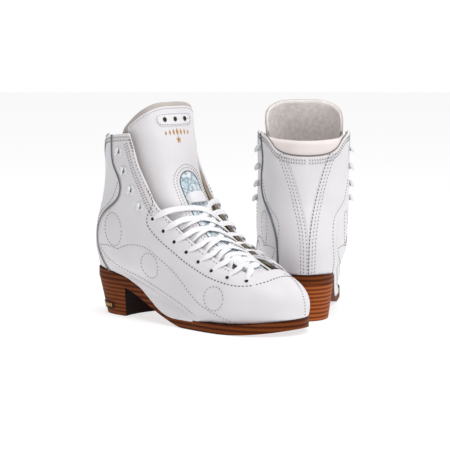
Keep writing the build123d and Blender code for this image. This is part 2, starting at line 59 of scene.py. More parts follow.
FRACTIONS = (0.055, 0.22, 0.46, 0.74, 0.93)
LEVELS = (
    (9, 3, 261, (18, 29, 37, 45, 27), (18, 29, 33, 43, 31)),
    (24, 2, 264, (19, 30, 40, 48, 29), (19, 30, 37, 46, 33)),
    (36, 1, 262, (20, 31, 42, 48, 29), (20, 31, 39, 46, 32)),
    (46, -1, 254, (20, 32, 43, 47, 27), (20, 32, 41, 46, 30)),
    (54, -3, 241, (20, 36, 44, 46, 26), (20, 36, 43, 45, 28)),
    (66, -5, 216, (21, 38, 45, 45, 25), (21, 38, 46, 45, 26)),
    (80, -5, 192, (21, 39, 45, 45, 24), (21, 39, 46, 45, 24)),
    (96, -1, 168, (21, 39, 45, 46, 26), (21, 39, 46, 46, 26)),
    (116, 6, 150, (20, 37, 45, 46, 27), (20, 37, 46, 46, 27)),
    (140, 12, 136, (19, 37, 45, 45, 27), (19, 37, 46, 45, 27)),
    (165, 14, 128, (19, 38, 46, 45, 27), (19, 38, 46, 45, 27)),
    (195, 12, 124, (20, 40, 47, 45, 27), (20, 40, 47, 45, 27)),
)
COLLAR = ((-30, 165), (0, 165.5), (14, 166.2), (22, 168), (28, 171.3), (32, 175.2), (35.5, 180.5),
          (40, 184.8), (48, 187.3), (60, 188.6), (80, 190.5), (100, 191.5))
FACING = ((79, 200), (80, 191), (85, 178), (92, 158), (103, 139), (117, 118), (133, 104),
          (157, 85), (186, 69), (205, 61.5), (222, 58))
THROAT_END = (222.0, 58.0)
THROAT_RISE = 0.795
BACK_SEAM = ((54, 188), (52, 172), (53, 160), (59, 149), (64, 137), (61, 126), (50, 117),
             (35, 108), (25, 98.5), (19, 88), (17.5, 76), (20, 64), (26, 53), (31, 45.5))
FOXING = ((24, 70), (31, 63), (43, 57), (61, 50), (85, 43.5), (107, 37), (125, 31),
          (144, 24), (160, 17), (174, 9.6))
INSERT_EDGE = ((23, 170), (15.5, 150), (9.5, 130), (4.8, 110), (1.6, 92), (0.4, 78), (0, 50))
WAVES = (((22, 72.5), (40, 74), (57, 71.5)),
         ((57, 71.5), (71, 76.5), (87, 78), (101, 76), (118, 68), (132, 60), (144, 52), (154, 43),
          (171, 29), (191, 20), (212, 12.5)))
EYESTAY = ((103, 135), (110, 121), (105, 110), (104, 102), (111, 93), (123, 84), (138, 75),
           (152, 67), (165, 61), (180, 55), (198, 50), (216, 47.5), (228, 48.5))
SOLE_TOP = ((-20, 49), (0, 48), (40, 44), (60, 40), (90, 29), (120, 19), (148, 11.5),
            (164, 9.5), (180, 9.5), (196, 9.6), (228, 11), (248, 13.3), (263, 15.9), (284, 20.5))
WAIST_DROP = ((70, 0), (84, 0.5), (94, 2.4), (105, 5.4), (118, 7.6), (130, 6.6), (147, 3.6),
              (162, 1.2), (174, 0))
SOLE_SIDE = {"lateral": ((10, 20), (34, 28.5), (66, 32), (118, 39.5), (160, 46), (197, 49)),
             "medial": ((10, 20), (34, 28.5), (66, 31.5), (118, 36), (160, 42.5), (197, 47))}
OVERHANG = 0.7
LINER_RIM = ((-20, 180.5), (10, 180.5), (30, 181.5), (50, 183), (72, 185), (100, 186))
LINER_FRONT = 70.0
TONGUE = (
    (50, 197, 232, 14, 2.3), (55, 188, 222, 17, 2.3), (60, 176, 209.5, 20.5, 2.3),
    (68, 159, 193, 24.5, 2.3),
    (80, 137, 171, 29, 2.3), (96, 114, 149.5, 32.5, 2.3), (116, 94, 133, 35.3, 2.4),
    (140, 75.5, 119, 37.4, 2.6), (165, 66, 111, 38.2, 3.0), (183, 62.5, 106.5, 39.1, 3.2),
    (192, 62, 104, 40, 3.3), (205, 62, 100.5, 41, 3.4), (222, 62, 96, 41.4, 3.4),
)
TONGUE_DEPTH = 7.0
TONGUE_TOP = 219.0
TONGUE_RIM = ((0, TONGUE_TOP), (12, 218.7), (25, 217.5), (38, 215.4), (50, 213), (60, 210.6),
              (70, 207.4), (79, 203.4), (85, 199.6), (88.5, 195.8), (90, 190))
EYELETS = ((111.2, 106.3), (124.6, 95), (137.8, 85.1), (152.4, 75.9), (167.2, 67.4),
           (183.6, 60), (201.7, 54.7), (220, 52.2))
HOOKS = ((64.7, 171.4), (71.3, 152.2), (81.8, 133.5), (95.2, 117.5))

LEATHER = 2.4
COLUMNS = 640
ROWS = 170


# ------------------------------------------------------------------ splines
def spline_moments(knots, periodic):
    """Matrix that turns values at the knots into second derivatives of the cubic spline."""
    knots = np.asarray(knots, float)
    count = len(knots) - 1 if periodic else len(knots)
    left, right = np.zeros((count, count)), np.zeros((count, count))
    steps = np.diff(knots)
    for i in range(count):
        if not periodic and i in (0, count - 1):
            left[i, i] = 1
            continue
        h0, h1 = steps[i - 1], steps[i % len(steps)]
        before, after = (i - 1) % count, (i + 1) % count
        left[i, before] += h0
        left[i, i] += 2 * (h0 + h1)
        left[i, after] += h1
        right[i, before] += 6 / h0
        right[i, i] -= 6 / h0 + 6 / h1
        right[i, after] += 6 / h1
    return np.linalg.solve(left, right)


def spline_weights(knots, moments, where, periodic=False):
    """Weights of the knots' values at each place on the spline."""
    knots = np.asarray(knots, float)
    where = np.asarray(where, float)
    flat = where.ravel()
    flat = flat % 1.0 if periodic else np.clip(flat, knots[0], knots[-1])
    i = np.clip(np.searchsorted(knots, flat, side="right") - 1, 0, len(knots) - 2)
    h = knots[i + 1] - knots[i]
    a = (knots[i + 1] - flat) / h
    b = 1 - a
    count = moments.shape[0]
    j = (i + 1) % count
    unit = np.eye(count)
    weights = a[:, None] * unit[i] + b[:, None] * unit[j]
    weights += ((a ** 3 - a) * h ** 2 / 6)[:, None] * moments[i]
    weights += ((b ** 3 - b) * h ** 2 / 6)[:, None] * moments[j]
    return weights.reshape(where.shape + (count,))


def curve(points):
    """Function giving the second coordinate from the first, smooth through the points."""
    points = sorted(points)
    knots = [p[0] for p in points]
    values = np.array([p[1] for p in points], float)
    moments = spline_moments(knots, False)
    return lambda x: spline_weights(knots, moments, x) @ values


def path(points, step=0.6):
    """Dense points of a smooth curve through the points, spaced by about step."""
    points = np.asarray(points, float)
    chords = np.linalg.norm(np.diff(points, axis=0), axis=1)
    knots = np.concatenate([[0], np.cumsum(chords)])
    count = max(int(knots[-1] / step), 2)
    weights = spline_weights(knots, spline_moments(knots, False), np.linspace(0, knots[-1], count))
    return weights @ points


def unit(v):
    return v / np.maximum(np.linalg.norm(v, axis=-1, keepdims=True), 1e-9)


# ------------------------------------------------------------------ outer face of the upper
def ring(level):
    """Plan outline of one level: back, lateral side, front, then medial side."""
    height, back, front, lateral, medial = level
    length = front - back
    points = [(back, 0)] + [(back + f * length, -w) for f, w in zip(FRACTIONS, lateral)]
    points += [(front, 0)] + [(back + f * length, w) for f, w in zip(FRACTIONS, medial)][::-1]
    return points


RINGS = np.array([ring(level) for level in LEVELS], float)
HEIGHTS = np.array([level[0] for level in LEVELS], float)
RING_STEPS = np.sqrt(np.linalg.norm(np.roll(RINGS, -1, 1) - RINGS, axis=2).mean(0))
TURNS = np.concatenate([[0], np.cumsum(RING_STEPS)]) / RING_STEPS.sum()
TURN_MOMENTS = spline_moments(TURNS, True)
HEIGHT_MOMENTS = spline_moments(HEIGHTS, False)


def outer(turn, height):
    """Points of the outer face. turn runs 0 to 1 from the back round the lateral side."""
    turn, height = np.broadcast_arrays(np.asarray(turn, float), np.asarray(height, float))
    around = spline_weights(TURNS, TURN_MOMENTS, turn, periodic=True)
    up = spline_weights(HEIGHTS, HEIGHT_MOMENTS, height)
    plan = np.einsum("...l,lpk,...p->...k", up, RINGS, around)
    return np.concatenate([plan, height[..., None]], axis=-1)


def outward(turn, height):
    """Unit normals of the outer face."""
    turn, height = np.broadcast_arrays(np.asarray(turn, float), np.asarray(height, float))
    along = outer(turn + 1e-3, height) - outer(turn - 1e-3, height)
    low = np.clip(height - 0.5, HEIGHTS[0], HEIGHTS[-1] - 1)
    up = outer(turn, low + 1.0) - outer(turn, low)
    return unit(np.cross(along, up))


def shell(turn, height, depth):
    """Points at a depth below the outer face."""
    depth = np.broadcast_to(np.asarray(depth, float), np.broadcast(turn, height).shape)
    return outer(turn, height) - outward(turn, height) * depth[..., None]


collar_height = curve(COLLAR)
facing_x = curve([(z, x) for x, z in FACING])
sole_height = curve(SOLE_TOP)
liner_height = curve(LINER_RIM)
waist_drop = curve(WAIST_DROP)
sole_width = {side: curve(SOLE_SIDE[side]) for side in SOLE_SIDE}


def rolled_down(x):
    """How far the leather passes below the top of the sole."""
    inside = np.clip(x, WAIST_DROP[0][0], WAIST_DROP[-1][0])
    return np.maximum(waist_drop(inside), 0)


def foot_edge(x):
    """Lower edge of the leather: on the sole, and rolled down over its side at the waist."""
    return sole_height(x) - rolled_down(x)


def waist_swell(points):
    """How far the leather stands out at the waist to pass over the side of the sole."""
    x, y, z = points[..., 0], points[..., 1], points[..., 2]
    wide = np.where(y < 0, sole_width["lateral"](x), sole_width["medial"](x))
    reach = wide + OVERHANG - np.abs(y)
    ends = np.clip((x - 62) / 14, 0, 1) * np.clip((186 - x) / 16, 0, 1)
    rise = np.clip(1 - (z - sole_height(x)) / 8, 0, 1)
    return np.clip(reach, 0, 4) * ends * rise * rise * (3 - 2 * rise)


def beyond_edge(x, z):
    """Signed distance past the collar or into the throat, in the side view."""
    over = z - collar_height(x)
    ahead = (x - facing_x(z)) * 0.62
    above = z - (THROAT_END[1] + THROAT_RISE * (x - THROAT_END[0]))
    return np.maximum(over, np.minimum(ahead, above))


def column_span(turns, margin=0.0):
    """Lowest and highest height of the upper along each column."""
    heights = np.linspace(HEIGHTS[0], HEIGHTS[-1], 560)
    grid = outer(turns[:, None], heights[None, :])
    x, z = grid[..., 0], grid[..., 2]
    past = beyond_edge(x, z) + margin
    under = z - foot_edge(x)
    tops, bottoms = [], []
    for j in range(len(turns)):
        first = int(np.argmax(under[j] > 0))
        bottoms.append(heights[first])
        inside = past[j, first:] > 0
        last = first + int(np.argmax(inside)) if inside.any() else len(heights) - 1
        low, high = past[j, last - 1], past[j, last]
        share = np.clip(-low / max(high - low, 1e-6), 0, 1)
        tops.append(heights[last - 1] + share * (heights[last] - heights[last - 1]))
    return np.array(bottoms), np.array(tops)


FRONT_TURN = TURNS[len(FRACTIONS) + 1]
HALF_TURNS = {"lateral": np.linspace(0.0, FRONT_TURN, 400),
              "medial": np.linspace(FRONT_TURN, 1.0, 400)}


def on_side(points, side):
    """turn of each side-view point (x, z) on the lateral or medial side."""
    turns = HALF_TURNS[side]
    found = []
    for x, z in points:
        xs = outer(turns, z)[:, 0]
        if side == "lateral":
            found.append(np.interp(x, xs, turns))
        else:
            found.append(np.interp(x, xs[::-1], turns[::-1]))
    return np.array(found)


def on_back(points):
    """turn of each rear-view point (y, z) at the back of the upper."""
    turns = np.linspace(-0.16, 0.16, 200)
    found = []
    for y, z in points:
        ys = outer(turns, z)[:, 1]
        found.append(np.interp(y, ys[::-1], turns[::-1]))
    return np.array(found)


def trace(points, view, step=0.6):
    """A drawn line laid on the outer face: its points and outward normals."""
    line = path(points, step)
    turn = on_back(line) if view == "back" else on_side(line, view)
    height = line[:, 1]
    return outer(turn, height), outward(turn, height)


# ------------------------------------------------------------------ meshes
def place(points, boot):
    (heel_x, heel_y), yaw, mirror = BOOTS[boot]
    turn = math.radians(yaw)
    points = np.asarray(points, float)
    x, y, z = points[..., 0], points[..., 1] * mirror, points[..., 2]
    wide = heel_x - PAIR_CENTRE[0] + x * math.cos(turn) - y * math.sin(turn)
    deep = heel_y - PAIR_CENTRE[1] + x * math.sin(turn) + y * math.cos(turn)
    return np.stack([wide, deep, z], axis=-1) * MM


def grid_faces(rows, columns, wrap_rows=False, wrap_columns=False):
    """Four-cornered faces of a grid of points kept row by row."""
    i = np.arange(rows if wrap_rows else rows - 1)[:, None]
    j = np.arange(columns if wrap_columns else columns - 1)[None, :]
    i2, j2 = (i + 1) % rows, (j + 1) % columns
    corners = [i * columns + j, i * columns + j2, i2 * columns + j2, i2 * columns + j]
    return np.stack(np.broadcast_arrays(*corners), axis=-1).reshape(-1, 4)


def mesh_piece(name, points, faces, boot, material, body, slot, sharp=None):
    """Object made from local points; faces turn round on the mirrored boot.

    It rides on its body. With no body it is a tongue piece, its transform baked into its mesh.
    """
    mesh = bpy.data.meshes.new(f"{boot}_{name}")
    order = [list(map(int, face)) for face in faces]
    if BOOTS[boot][2] < 0:
        order = [face[::-1] for face in order]
    mesh.from_pydata(place(points, boot).reshape(-1, 3).tolist(), [], order)
    mesh.shade_smooth()
    if sharp:
        mesh.set_sharp_from_angle(angle=math.radians(sharp))
    mesh.materials.append(MATERIALS[material])
    piece = bpy.data.objects.new(f"{boot}_{name}", mesh)
    bpy.context.scene.collection.objects.link(piece)
    if body:
        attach(piece, f"{boot}_{body}")
    else:
        bend(piece)
    return piece


def joined(parts):
    """Several (points, faces) lists as one."""
    points, faces, start = [], [], 0
    for p, f in parts:
        p = np.asarray(p, float).reshape(-1, 3)
        points.append(p)
        faces += [[int(i) + start for i in face] for face in f]
        start += len(p)
    return np.concatenate(points), faces


def tube(points, radius, sides=10):
    """Round closed tube along points."""
    points = np.asarray(points, float)
    radius = np.broadcast_to(radius, len(points))
    tangent = unit(np.gradient(points, axis=0))
    guide = np.array([0.31, 0.53, 0.79])
    normal = unit(guide - tangent[0] * (guide @ tangent[0]))
    rings = []
    for p, t, r in zip(points, tangent, radius):
        normal = unit(normal - t * (normal @ t))
        other = np.cross(t, normal)
        angles = np.linspace(0, 2 * math.pi, sides, endpoint=False)[:, None]
        rings.append(p + r * (np.cos(angles) * normal + np.sin(angles) * other))
    faces = grid_faces(len(points), sides, wrap_columns=True).tolist()
    last = (len(points) - 1) * sides
    faces.append(list(range(sides))[::-1])
    faces.append([last + k for k in range(sides)])
    return np.concatenate(rings), faces


def rim_arc(edge, normal, up, thickness, steps=7):
    """Half round from the outer face over a wall's edge to its inner face."""
    centre = edge - normal * (thickness / 2)
    rows = []
    for k in range(1, steps):
        angle = math.pi * k / steps
        rows.append(centre + (thickness / 2) * (math.cos(angle) * normal + math.sin(angle) * up))
    return rows


# ------------------------------------------------------------------ stitches
def stitch_mesh(lines, pitch, length, radius, slant=0.0):
    """Small capsules along lines on a surface: lines are (points, normals)."""
    turns, rings = 6, ((-1.0, 0.35), (-0.75, 0.85), (0.0, 1.0), (0.75, 0.85), (1.0, 0.35))
    template = []
    for along, wide in rings:
        for k in range(turns):
            angle = 2 * math.pi * k / turns
            template.append((along * length / 2, math.cos(angle) * wide * radius,
                             math.sin(angle) * wide * radius))
    template = np.array(template)
    faces = grid_faces(len(rings), turns, wrap_columns=True).tolist()
    last = (len(rings) - 1) * turns
    faces += [list(range(turns))[::-1], [last + k for k in range(turns)]]
    parts = []
    for points, normals in lines:
        steps = np.linalg.norm(np.diff(points, axis=0), axis=1)
        run = np.concatenate([[0], np.cumsum(steps)])
        places = np.arange(pitch / 2, run[-1], pitch)
        centre = np.stack([np.interp(places, run, points[:, k]) for k in range(3)], 1)
        normal = unit(np.stack([np.interp(places, run, normals[:, k]) for k in range(3)], 1))
        ahead = np.stack([np.interp(places + 0.5, run, points[:, k]) for k in range(3)], 1)
        along = ahead - centre
        along = unit(along - normal * (along * normal).sum(1, keepdims=True))
        across = np.cross(normal, along)
        if slant:
            turned = along * math.cos(slant) + across * math.sin(slant)
            along, across = turned, np.cross(normal, turned)
        axes = np.stack([along, across, normal], axis=1)
        bodies = centre[:, None] + np.einsum("tk,skc->stc", template, axes)
        parts += [(body, faces) for body in bodies]
    return joined(parts)


def beside(line, offset):
    """The line moved sideways on its surface."""
    points, normals = line
    along = unit(np.gradient(points, axis=0))
    return points + np.cross(normals, along) * offset, normals


def oval(centre, radii, lean, side):
    """Closed stitched oval in the side view, laid on the outer face."""
    angles = np.linspace(0, 2 * math.pi, 90)
    a, b = math.cos(lean), math.sin(lean)
    u, v = radii[0] * np.cos(angles), radii[1] * np.sin(angles)
    line = np.stack([centre[0] + u * a - v * b, centre[1] + u * b + v * a], axis=1)
    turn = on_side(line, side)
    return outer(turn, line[:, 1]), outward(turn, line[:, 1])


# ------------------------------------------------------------------ materials
def nodes_of(name):
    """New material with its node tree and shader."""
    material = bpy.data.materials.new(name)
    material.use_nodes = True
    tree = material.node_tree
    return material, tree, tree.nodes["Principled BSDF"]


def add(tree, kind, **values):
    node = tree.nodes.new(kind)
    for key, value in values.items():
        if key in node.inputs:
            node.inputs[key].default_value = value
        else:
            setattr(node, key, value)
    return node


def settings(shader, **values):
    """Set inputs of a shader; an underscore in a name stands for a space."""
    for key, value in values.items():
        shader.inputs[key.replace("_", " ")].default_value = value


def coordinates(tree, stretch=(1, 1, 1)):
    source = add(tree, "ShaderNodeTexCoord")
    mapping = add(tree, "ShaderNodeMapping")
    mapping.inputs["Scale"].default_value = stretch
    tree.links.new(source.outputs["Object"], mapping.inputs["Vector"])
    return mapping.outputs["Vector"]


def ramp(tree, source, stops):
    node = add(tree, "ShaderNodeValToRGB")
    elements = node.color_ramp.elements
    while len(elements) < len(stops):
        elements.new(0.5)
    for element, (position, colour) in zip(elements, stops):
        element.position = position
        element.color = (*colour, 1)
    tree.links.new(source, node.inputs["Fac"])
    return node.outputs["Color"]


def bump(tree, shader, layers):
    """Chain of bump nodes from (height socket, strength, distance in mm)."""
    last = None
    for height, strength, distance in layers:
        node = add(tree, "ShaderNodeBump", Strength=strength, Distance=distance * MM)
        tree.links.new(height, node.inputs["Height"])
        if last:
            tree.links.new(last, node.inputs["Normal"])
        last = node.outputs["Normal"]
    tree.links.new(last, shader.inputs["Normal"])


def leather(name, light, dark, roughness, grain=1.0, coat=0.0):
    """Smooth finished leather: fine pebble grain, faint creases and uneven tone."""
    material, tree, shader = nodes_of(name)
    where = coordinates(tree)
    tone = add(tree, "ShaderNodeTexNoise", Scale=28.0, Detail=5.0)
    pores = add(tree, "ShaderNodeTexVoronoi", Scale=1150.0, feature="F1")
    creases = add(tree, "ShaderNodeTexNoise", Scale=160.0, Detail=6.0, Roughness=0.6)
    for node in (tone, pores, creases):
        tree.links.new(where, node.inputs["Vector"])
    colour = ramp(tree, tone.outputs["Fac"], ((0.3, dark), (0.62, light)))
    tree.links.new(colour, shader.inputs["Base Color"])
    rough = add(tree, "ShaderNodeMapRange")
    rough.inputs["To Min"].default_value = roughness - 0.05
    rough.inputs["To Max"].default_value = roughness + 0.08
    tree.links.new(creases.outputs["Fac"], rough.inputs["Value"])
    tree.links.new(rough.outputs["Result"], shader.inputs["Roughness"])
    bump(tree, shader, ((pores.outputs["Distance"], 0.35 * grain, 0.12),
                        (creases.outputs["Fac"], 0.25 * grain, 0.35)))
    settings(shader, Coat_Weight=coat, Coat_Roughness=0.35)
    return material


def suede(name, light, dark):
    """Brushed fabric with a fuzzy nap."""
    material, tree, shader = nodes_of(name)
    where = coordinates(tree)
    nap = add(tree, "ShaderNodeTexNoise", Scale=900.0, Detail=8.0, Roughness=0.75)
    patches = add(tree, "ShaderNodeTexNoise", Scale=240.0, Detail=6.0, Roughness=0.7)
    for node in (nap, patches):
        tree.links.new(where, node.inputs["Vector"])
    colour = ramp(tree, patches.outputs["Fac"], ((0.35, dark), (0.68, light)))
    tree.links.new(colour, shader.inputs["Base Color"])
    settings(shader, Roughness=0.95, Sheen_Weight=0.35, Sheen_Roughness=0.6)
    bump(tree, shader, ((nap.outputs["Fac"], 0.7, 0.5),))
    return material


def thread(name, colour, dark):
    material, tree, shader = nodes_of(name)
    twist = add(tree, "ShaderNodeTexWave", Scale=900.0, Distortion=2.0)
    tree.links.new(coordinates(tree), twist.inputs["Vector"])
    shade = ramp(tree, twist.outputs["Fac"], ((0.2, dark), (0.8, colour)))
    tree.links.new(shade, shader.inputs["Base Color"])
    settings(shader, Roughness=0.7)
    bump(tree, shader, ((twist.outputs["Fac"], 0.3, 0.1),))
    return material


def stacked_leather(name, scale_z, tones, forward=None):
    """Waxed brown leather in layers with soft darker joints; faces turned the way the boot points,
    such as the heel breast, get painted shade.
    """
    material, tree, shader = nodes_of(name)
    where = coordinates(tree, (6, 6, scale_z))
    layers = add(tree, "ShaderNodeTexWave", Scale=1.0, Distortion=1.4, Detail=2.0,
                 wave_type="BANDS", bands_direction="Z")
    layers.inputs["Detail Scale"].default_value = 1.4
    grain = add(tree, "ShaderNodeTexNoise", Scale=3.0, Detail=8.0, Roughness=0.7)
    tree.links.new(where, layers.inputs["Vector"])
    tree.links.new(coordinates(tree, (60, 60, 900)), grain.inputs["Vector"])
    mix = add(tree, "ShaderNodeMix", data_type="FLOAT")
    mix.inputs["Factor"].default_value = 0.42
    tree.links.new(layers.outputs["Fac"], mix.inputs["A"])
    tree.links.new(grain.outputs["Fac"], mix.inputs["B"])
    colour = ramp(tree, mix.outputs["Result"], tuple(zip((0.16, 0.36, 0.74), tones)))
    # painted shade: the colour darkens on faces turned forward, the heel breast
    if forward:
        source = add(tree, "ShaderNodeTexCoord")
        facing = add(tree, "ShaderNodeVectorMath", operation="DOT_PRODUCT")
        facing.inputs[1].default_value = forward
        tree.links.new(source.outputs["Normal"], facing.inputs[0])
        shade = ramp(tree, facing.outputs["Value"], ((0.45, (1, 1, 1)), (0.75, (0.05, 0.02, 0.015))))
        dim = add(tree, "ShaderNodeMix", data_type="RGBA", blend_type="MULTIPLY")
        dim.inputs["Factor"].default_value = 1.0
        tree.links.new(colour, dim.inputs["A"])
        tree.links.new(shade, dim.inputs["B"])
        colour = dim.outputs["Result"]
    tree.links.new(colour, shader.inputs["Base Color"])
    settings(shader, Roughness=0.55, Specular_IOR_Level=0.06)
    bump(tree, shader, ((mix.outputs["Result"], 0.4, 0.35),))
    return material


def heading(boot):
    """Unit vector of the way a boot points."""
    turn = math.radians(BOOTS[boot][1])
    return (math.cos(turn), math.sin(turn), 0.0)


SOLE_TONES = ((0.045, 0.009, 0.003), (0.10, 0.021, 0.005), (0.19, 0.05, 0.013))
# The right heel's tones are the left's darkened: a shaded copy of the same leather, painted shade.
HEEL_TONES_RIGHT_SHADED = {"right": ((0.065, 0.013, 0.003), (0.135, 0.031, 0.007), (0.235, 0.062, 0.015)),
              "left": ((0.10, 0.02, 0.005), (0.24, 0.056, 0.013), (0.43, 0.115, 0.03))}


def plain(name, colour, roughness, metallic=0.0, coat=0.0, shine=0.5):
    """Hard finish with faint mottling and scuffs."""
    material, tree, shader = nodes_of(name)
    scuffs = add(tree, "ShaderNodeTexNoise", Scale=400.0, Detail=5.0)
    tree.links.new(coordinates(tree), scuffs.inputs["Vector"])
    darker = tuple(c * 0.86 for c in colour)
    tree.links.new(ramp(tree, scuffs.outputs["Fac"], ((0.3, darker), (0.6, colour))),
                   shader.inputs["Base Color"])
    settings(shader, Roughness=roughness, Metallic=metallic, Coat_Weight=coat,
             Specular_IOR_Level=shine)
    bump(tree, shader, ((scuffs.outputs["Fac"], 0.1, 0.1),))
    return material


def woven(name, colour, dark):
    """Flat woven lace: a fine herringbone of threads."""
    material, tree, shader = nodes_of(name)
    where = coordinates(tree)
    one = add(tree, "ShaderNodeTexWave", Scale=420.0, Distortion=0.6, bands_direction="DIAGONAL")
    two = add(tree, "ShaderNodeTexVoronoi", Scale=1400.0)
    tree.links.new(where, one.inputs["Vector"])
    tree.links.new(where, two.inputs["Vector"])
    shade = ramp(tree, one.outputs["Fac"], ((0.1, dark), (0.7, colour)))
    tree.links.new(shade, shader.inputs["Base Color"])
    settings(shader, Roughness=0.8, Sheen_Weight=0.2)
    bump(tree, shader, ((one.outputs["Fac"], 0.35, 0.15), (two.outputs["Distance"], 0.4, 0.12)))
    return material


def patterned(name):
    """Pale blue, grey and white printed textile with loose swirls."""
    material, tree, shader = nodes_of(name)
    swirl = add(tree, "ShaderNodeTexNoise", Scale=75.0, Detail=2.0, Distortion=2.6)
    lines = add(tree, "ShaderNodeTexVoronoi", Scale=130.0, feature="DISTANCE_TO_EDGE")
    weave = add(tree, "ShaderNodeTexNoise", Scale=1500.0, Detail=2.0)
    where = coordinates(tree)
    for node in (swirl, lines, weave):
        tree.links.new(where, node.inputs["Vector"])
    base = ramp(tree, swirl.outputs["Fac"],
                ((0.36, (0.42, 0.55, 0.62)), (0.5, (0.62, 0.73, 0.78)), (0.6, (0.84, 0.86, 0.87))))
    dark = ramp(tree, lines.outputs["Distance"], ((0.0, (0.2, 0.25, 0.29)), (0.09, (1, 1, 1))))
    mix = add(tree, "ShaderNodeMix", data_type="RGBA", blend_type="MULTIPLY")
    mix.inputs["Factor"].default_value = 0.75
    tree.links.new(base, mix.inputs["A"])
    tree.links.new(dark, mix.inputs["B"])
    tree.links.new(mix.outputs["Result"], shader.inputs["Base Color"])
    settings(shader, Roughness=0.75)
    bump(tree, shader, ((weave.outputs["Fac"], 0.4, 0.2),))
    return material


MATERIALS = {
    "white": leather("white_leather", (0.79, 0.775, 0.795), (0.74, 0.72, 0.745), 0.42, coat=0.05),
    "facing": leather("edge_leather", (0.82, 0.82, 0.84), (0.76, 0.76, 0.79), 0.45),
    "lining": leather("tan_lining", (0.42, 0.35, 0.24), (0.33, 0.27, 0.18), 0.6),
    "liner": leather("collar_leather", (0.88, 0.81, 0.78), (0.80, 0.73, 0.70), 0.5, grain=0.6),
    "suede": suede("brushed_suede", (0.96, 0.92, 0.90), (0.74, 0.69, 0.66)),
    "band": leather("edge_band", (0.52, 0.47, 0.44), (0.42, 0.38, 0.36), 0.65),
    "thread": thread("grey_thread", (0.36, 0.34, 0.32), (0.2, 0.19, 0.18)),
    "dark_thread": thread("dark_thread", (0.13, 0.14, 0.15), (0.06, 0.065, 0.07)),
    "piping": plain("slate_piping", (0.10, 0.135, 0.165), 0.35, coat=0.3),
    "hook": plain("white_enamel", (0.82, 0.84, 0.85), 0.22, coat=0.3),
    # near-black: painted shade inside the eyelets and the patch holes
    "hole": plain("hole_painted_shade", (0.012, 0.011, 0.01), 0.8),
    "lace": woven("white_lace", (0.93, 0.93, 0.94), (0.83, 0.83, 0.85)),
    "pattern": patterned("printed_textile"),
    "gold": plain("gold_foil", (0.62, 0.34, 0.10), 0.3, metallic=0.9),
    # metal of the hook posts, darkened as painted shade under the caps
    "gunmetal": plain("gunmetal", (0.10, 0.105, 0.11), 0.5, metallic=0.3),
    "rim_line": plain("collar_shadow", (0.20, 0.18, 0.17), 0.8),
    "bronze": plain("dark_bronze", (0.14, 0.10, 0.05), 0.35, metallic=0.7),
    "plate": plain("dark_plate", (0.045, 0.012, 0.005), 0.6, shine=0.1),
    "sole": stacked_leather("sole_leather", 66, SOLE_TONES),
    "right_heel": stacked_leather("right_heel_leather", 76, HEEL_TONES_RIGHT_SHADED["right"], heading("right")),
    "left_heel": stacked_leather("left_heel_leather", 76, HEEL_TONES_RIGHT_SHADED["left"], heading("left")),
    "steel": plain("steel", (0.5, 0.5, 0.52), 0.35, metallic=1.0),
    "footbed": suede("footbed_suede", (0.52, 0.46, 0.40), (0.42, 0.37, 0.32)),
    "cork": suede("cork", (0.36, 0.22, 0.11), (0.26, 0.15, 0.07)),
    "fibre": suede("fibre_board", (0.36, 0.29, 0.2), (0.28, 0.22, 0.15)),
}


# ------------------------------------------------------------------ lines of the upper
BACK_STITCH = {
    "lateral": ((60, 141), (57, 135), (52, 127), (46, 120.5), (36, 113.5), (22, 105), (16, 96),
                (16, 83), (22, 65), (31, 47)),
    "medial": ((60, 141), (57, 135), (52, 127), (44, 119.5), (31, 113), (18, 104), (12.5, 90),
               (13, 75), (20, 60), (30, 47)),
}
TOE_SEAM = ((234, 9, 57), (239, 14, 53), (249, 11, 48), (258, 7, 41), (262.5, 5, 33), (263, 6, 19))
OVALS = (((51, 91.5), (13.5, 17), 0.16), ((104, 58.5), (12.2, 12.8), -0.15),
         ((192, 34), (11.5, 11.8), -0.1))


def onto(points, step=0.6):
    """A line through points in space, dropped on the outer face: points and normals."""
    line = path(points, step)
    turns = np.linspace(0, 1, 500, endpoint=False)
    heights = np.linspace(HEIGHTS[0], HEIGHTS[-1], 260)
    grid = outer(turns[:, None], heights[None, :]).reshape(-1, 3)
    tree = kdtree.KDTree(len(grid))
    for i, point in enumerate(grid):
        tree.insert(point, i)
    tree.balance()
    found = np.array([tree.find(point)[1] for point in line])
    turn, height = turns[found // 260], heights[found % 260]
    for _ in range(3):
        here = outer(turn, height)
        along = (outer(turn + 1e-3, height) - here) / 1e-3
        up = (outer(turn, height + 0.1) - here) / 0.1
        miss = line - here
        a, b, c = (along * along).sum(1), (along * up).sum(1), (up * up).sum(1)
        p, q = (miss * along).sum(1), (miss * up).sum(1)
        size = a * c - b * b
        turn = turn + (c * p - b * q) / size
        height = height + (a * q - b * p) / size
    return outer(turn, height), outward(turn, height)


def parallel_facing(back, low, high):
    """Points a constant way behind the facing edge, between two heights."""
    edge = path(FACING, 2.0)
    edge = edge[(edge[:, 1] > low) & (edge[:, 1] < high)]
    along = unit(np.gradient(edge, axis=0))
    return edge + np.stack([along[:, 1], -along[:, 0]], axis=1) * back


def under_collar(drop, side):
    """Points a little under the collar edge on one side, from the back to the facing."""
    turns = np.linspace(0.004, 0.30, 160)
    turns = turns if side == "lateral" else 1 - turns
    _, tops = column_span(turns)
    turns, tops = turns[tops > 150], tops[tops > 150]
    tops = tops - drop
    return outer(turns, tops), outward(turns, tops)


